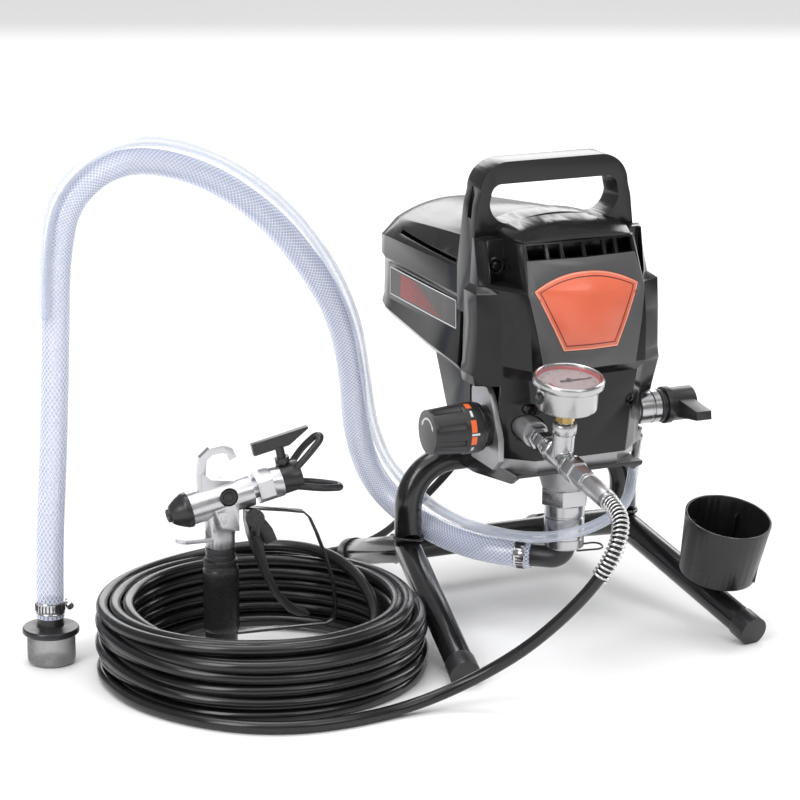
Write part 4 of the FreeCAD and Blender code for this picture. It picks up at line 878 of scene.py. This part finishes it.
ink = moulded_finish("dial_ink", (0.02, 0.02, 0.02), 0.5, grain=500, bump=0.02)
dial_red = moulded_finish("dial_red", (0.7, 0.03, 0.03), 0.45, grain=500, bump=0.02)
dial_marks("dial_ticks_long", -45, 225, 10, 20.2, 25, 0.28, ink)
dial_marks("dial_ticks_short", -45, 225, 50, 22.6, 25, 0.13, ink)
dial_marks("dial_ticks_inner", -45, 225, 40, 13.2, 14.6, 0.14, dial_red)
dial_marks("dial_red_zone", 180, 225, 60, 17.2, 19.2, 0.5, dial_red)
needle = dressed("gauge_needle", "gauge_pointer", 0.0001, angle=40, segments=1)
stands_for(needle, "gauge_needle", ink)
glass = bpy.data.materials.new("gauge_glass")
glass.use_nodes = True
glass.node_tree.nodes["Principled BSDF"].inputs["Base Color"].default_value = (0.3, 0.3, 0.31, 1)
glass.node_tree.nodes["Principled BSDF"].inputs["Roughness"].default_value = 0.03
haze = glass.node_tree.nodes.new("ShaderNodeLayerWeight")
haze.inputs["Blend"].default_value = 0.25
haze_range = glass.node_tree.nodes.new("ShaderNodeMapRange")
haze_range.inputs["To Min"].default_value, haze_range.inputs["To Max"].default_value = 0.04, 0.35
glass.node_tree.links.new(haze.outputs["Fresnel"], haze_range.inputs["Value"])
glass.node_tree.links.new(haze_range.outputs["Result"], glass.node_tree.nodes["Principled BSDF"].inputs["Alpha"])
lens_disc = turned("gauge_window", tee, gauge_up, [(76, 0), (76, 27.9), (77.1, 27.9), (77.3, 27.4), (77.3, 0)], 96)
stands_for(lens_disc, "gauge_lens", glass)


# ---- pressure knob ----
# The regulator screws into the cast ear. Its black knob has eight thumb flutes, a
# ring of orange and white marks, and a white arc printed on its end.
ear_base = dressed("regulator_base", "regulator_collar", 0.0008, angle=30, segments=3)
stands_for(ear_base, "regulator_base", gloss_black)
knob = dressed("pressure_knob", "fluted_knob", 0.0012, angle=26, segments=3)
stands_for(knob, "pressure_knob", satin_black)
knob_at = stand(0, -92, 203)
orange_paint = moulded_finish("orange_paint", (0.9, 0.16, 0.04), 0.4, grain=500, bump=0.03, mottle=0.06)
for name, start, stop, x0, x1, material, steps in (
        ("knob_mark_orange_a", 148, 176, 94.5, 99.8, orange_paint, 6),
        ("knob_mark_orange_b", 186, 206, 94.5, 99.8, orange_paint, 5),
        ("knob_mark_white_a", 124, 140, 96.0, 98.4, white_ink, 4),
        ("knob_mark_white_b", 214, 226, 96.0, 98.4, white_ink, 3),
        ("knob_mark_white_c", 178.5, 183.5, 92.0, 99.8, white_ink, 2),
        ("knob_mark_orange_c", 96, 116, 94.5, 99.8, orange_paint, 5)):
    patch = bmesh.new()
    rows = []
    for k in range(steps + 1):
        angle = math.radians(start + (stop - start) * k / steps)
        out = Vector((0, math.cos(angle), math.sin(angle))) * 0.02307
        rows.append([patch.verts.new(knob_at + out + Vector((-x / 1000, 0, 0))) for x in (x0, x1)])
    for a, b in zip(rows, rows[1:]):
        patch.faces.new((a[0], a[1], b[1], b[0]))
    patch.normal_update()
    bmesh.ops.solidify(patch, geom=patch.faces[:], thickness=0.00006)
    added_to(from_net(patch, name, 60), "pressure_knob", material)
arc = bmesh.new()
rows = []
for k in range(33):
    angle = math.radians(15 + 150 * k / 32)
    tip = min(k, 32 - k)
    wide = 0.2 + 0.9 * tip if tip < 5 else 1.8
    rows.append([arc.verts.new(knob_at + Vector((-0.13305, r * math.cos(angle) / 1000, r * math.sin(angle) / 1000)))
                 for r in (12.4 - wide / 2, 12.4 + wide / 2)])
for a, b in zip(rows, rows[1:]):
    arc.faces.new((a[0], a[1], b[1], b[0]))
arc.normal_update()
bmesh.ops.solidify(arc, geom=arc.faces[:], thickness=0.00006)
added_to(from_net(arc, "knob_face_arc", 30), "pressure_knob", white_ink)


# ---- prime valve ----
# A chromed valve body on the other side turns with a black lever. Its zinc-plated
# barb points down and takes the return tube.
valve = turned("prime_valve_body", knob_at + Vector((0.074, 0, 0)), Vector((1, 0, 0)),
               [(0, 0), (0, 14), (0.8, 15), (12, 15), (12.8, 14.2), (14.4, 14.2), (15.2, 15), (21, 15), (22, 14),
                (22, 13.5),
                (27.6, 13.5), (28, 12.8), (28, 6), (49.5, 6), (50, 5.4), (50, 0)], 64)
stands_for(valve, "prime_valve", polished)
seal = turned("prime_valve_ring", knob_at + Vector((0.0963, 0, 0)), Vector((1, 0, 0)),
              [(0, 13.4), (0, 14.6), (0.6, 15.1), (3.4, 15.1), (4, 14.6), (4, 13.4)], 56)
added_to(seal, "prime_valve", satin_black)
lever = dressed("prime_lever", "prime_handle", 0.0018, angle=26, segments=4)
stands_for(lever, "prime_lever", satin_black)
barb = dressed("return_barb", "return_tube_barb", 0.0006, angle=30, segments=2)
stands_for(barb, "return_barb", zinc)


# ---- spray gun ----
# A satin cast aluminium body with a hook and hand rest. The handle is a knurled
# black tube with a smooth oval pad, and stands on its hose swivel.
gun_floor = stand(-318, -59, 0)
gun_turn = Matrix.Rotation(math.radians(-5), 4, "Z")


def on_gun(x, y, z):
    """A place in the gun's own frame, x forward and z up, in millimetres."""
    return gun_floor + gun_turn @ Vector((x, y, z)) / 1000


def gun_way(x, y, z):
    return (gun_turn @ Vector((x, y, z))).normalized()


tilt = Vector((math.cos(math.radians(13)), 0, math.sin(math.radians(13))))
bore_way = gun_way(*tilt)
gun_cast = moulded_finish("gun_casting", (0.62, 0.62, 0.64), 0.3, metal=0.95, grain=500, bump=0.16, mottle=0.07,
                          spread=0.06, patches=70)
body = dressed("gun_body", "gun_casting_body", 0.0012, angle=26, segments=3)
stands_for(body, "gun_body", gun_cast)
nose = turned("gun_nose", on_gun(*(Vector((0, 0, 154.1)) - tilt * 28)), -bore_way,
              [(0, 14.4), (0.4, 15.6), (1.4, 16), (5.4, 15.4), (6.2, 14.8), (10.5, 12.8), (14.5, 10.4), (17.4, 8.2),
               (18, 7.4),
               (18, 6.1), (20.4, 6), (21, 5.4), (21, 4.2), (19.6, 3.8), (19.6, 0)], 56)
stands_for(nose, "gun_nose_cap", satin_black)
KNURLS, ROWS = 32, 18
grip = bmesh.new()
rings = [(24.0, 13.6, 0), (24.4, 14.4, 0), (33.6, 14.5, 0), (34.4, 15.2, 0), (36, 15.6, 0)]
rings += [(36.6 + 53.4 * k / ROWS, 15.45, 1) for k in range(ROWS + 1)]
rings += [(90.8, 15.6, 0), (91.4, 15.2, 0), (94, 15.2, 0), (94.5, 14.6, 0), (96.5, 14.6, 0), (97, 15.2, 0),
          (99.4, 15.2, 0),
          (100, 14.4, 0), (100.6, 13.5, 0), (104, 13.5, 0), (104.5, 13.0, 0), (106.5, 13.0, 0), (107, 13.5, 0),
          (110.8, 13.5, 0), (111.4, 12.9, 0)]
circles = []
for count, (z, r, cut) in enumerate(rings):
    made = bmesh.ops.create_circle(grip, segments=KNURLS, radius=r / 1000,
                                   matrix=Matrix.Translation((0, 0, z / 1000)))["verts"]
    for k, v in enumerate(made):
        angle = math.atan2(v.co.y, v.co.x)
        if cut:
            pad = ((angle + math.pi / 2) / 0.62) ** 2 + ((z - 64) / 15) ** 2
            out = 0.7 if 0.72 < pad < 1.0 else (0.25 if pad <= 0.72 else (0.75 if (k + count) % 2 else 0.0))
            v.co.x *= 1 + out / r
            v.co.y *= 1 + out / r
    circles.append([e for e in grip.edges if e.verts[0] in made and e.verts[1] in made])
for low, high in zip(circles, circles[1:]):
    bmesh.ops.bridge_loops(grip, edges=low + high)
bmesh.ops.transform(grip, matrix=Matrix.Translation(gun_floor) @ gun_turn, verts=grip.verts)
knurled = from_net(grip, "knurled_grip", 34)
stands_for(knurled, "gun_grip", moulded_finish("anodised_black", (0.035, 0.035, 0.037), 0.27, metal=0.5, grain=700,
                                               bump=0.05, mottle=0.15))
swivel = dressed("gun_swivel", "hose_swivel", 0.0008, angle=28, segments=2)
stands_for(swivel, "gun_swivel", satin_black)
for name, low, high, r in (("swivel_ring_low", 2.0, 4.2, 6.85), ("swivel_ring_high", 5.4, 7.6, 6.85)):
    ring = turned(name, on_gun(0, 0, low), Vector((0, 0, 1)),
                  [(0, r - 0.6), (0.3, r - 0.02), (high - low - 0.3, r - 0.02), (high - low, r - 0.6)], 40)
    added_to(ring, "gun_swivel", zinc)


# ---- trigger and guard ----
# The forked black trigger hangs on a pin through the body, with a round ribbed hub.
# A spring steel strip guards it, and a small lock leaf turns on its side.
guard = dressed("trigger_guard", "trigger_guard_strip", 0.0006, angle=30, segments=2)
stands_for(guard, "trigger_guard", powder)
trigger = dressed("gun_trigger", "forked_trigger", 0.0012, angle=26, segments=3)
stands_for(trigger, "gun_trigger", satin_black)
lock = dressed("trigger_lock", "lock_leaf", 0.0008, angle=30, segments=3)
stands_for(lock, "trigger_lock", gloss_black)
rosette = bmesh.new()
for k in range(9):
    turn = Matrix.Translation(on_gun(26, -23.55, 140)) @ gun_turn @ Matrix.Rotation(math.radians(40 * k), 4, "Y")
    bmesh.ops.create_cube(rosette, size=1, matrix=turn @ Matrix.Translation((0.0052, 0,
            0)) @ Matrix.Diagonal((0.0042, 0.0010, 0.0012, 1)))
bmesh.ops.bevel(rosette, geom=rosette.edges[:], offset=0.0002, segments=1, affect="EDGES", profile=0.5, material=-1)
added_to(from_net(rosette, "lock_ribs", 30), "trigger_lock", satin_black)
for side in (-1, 1):
    hub = turned("trigger_hub_%s" % ("near" if side < 0 else "far"), on_gun(3.6, side * 18.45, 160.8),
                 gun_way(0, side, 0),
                 [(0, 8.4), (0.7, 8.2), (1.0, 7.2), (0.3, 6.8), (0.3, 5.4), (1.0, 5.0), (1.2, 3.6), (0.5, 3.2),
                  (0.5, 0)], 40)
    added_to(hub, "gun_trigger", gloss_black)


# ---- tip and tip guard ----
# An aluminium hex nut clamps the black tip guard, whose loops keep fingers off the
# jet. The T-handled tip turns over in it to blow out a blockage.
nut = dressed("tip_nut", "guard_nut", 0.0009, angle=28, segments=3)
stands_for(nut, "tip_nut", gun_cast)
loops = dressed("tip_guard", "tip_guard_loops", 0.0005, angle=32, segments=2)
stands_for(loops, "tip_guard", satin_black)
tip = dressed("spray_tip", "tip_handle", 0.0011, angle=28, segments=3)
stands_for(tip, "spray_tip", satin_black)
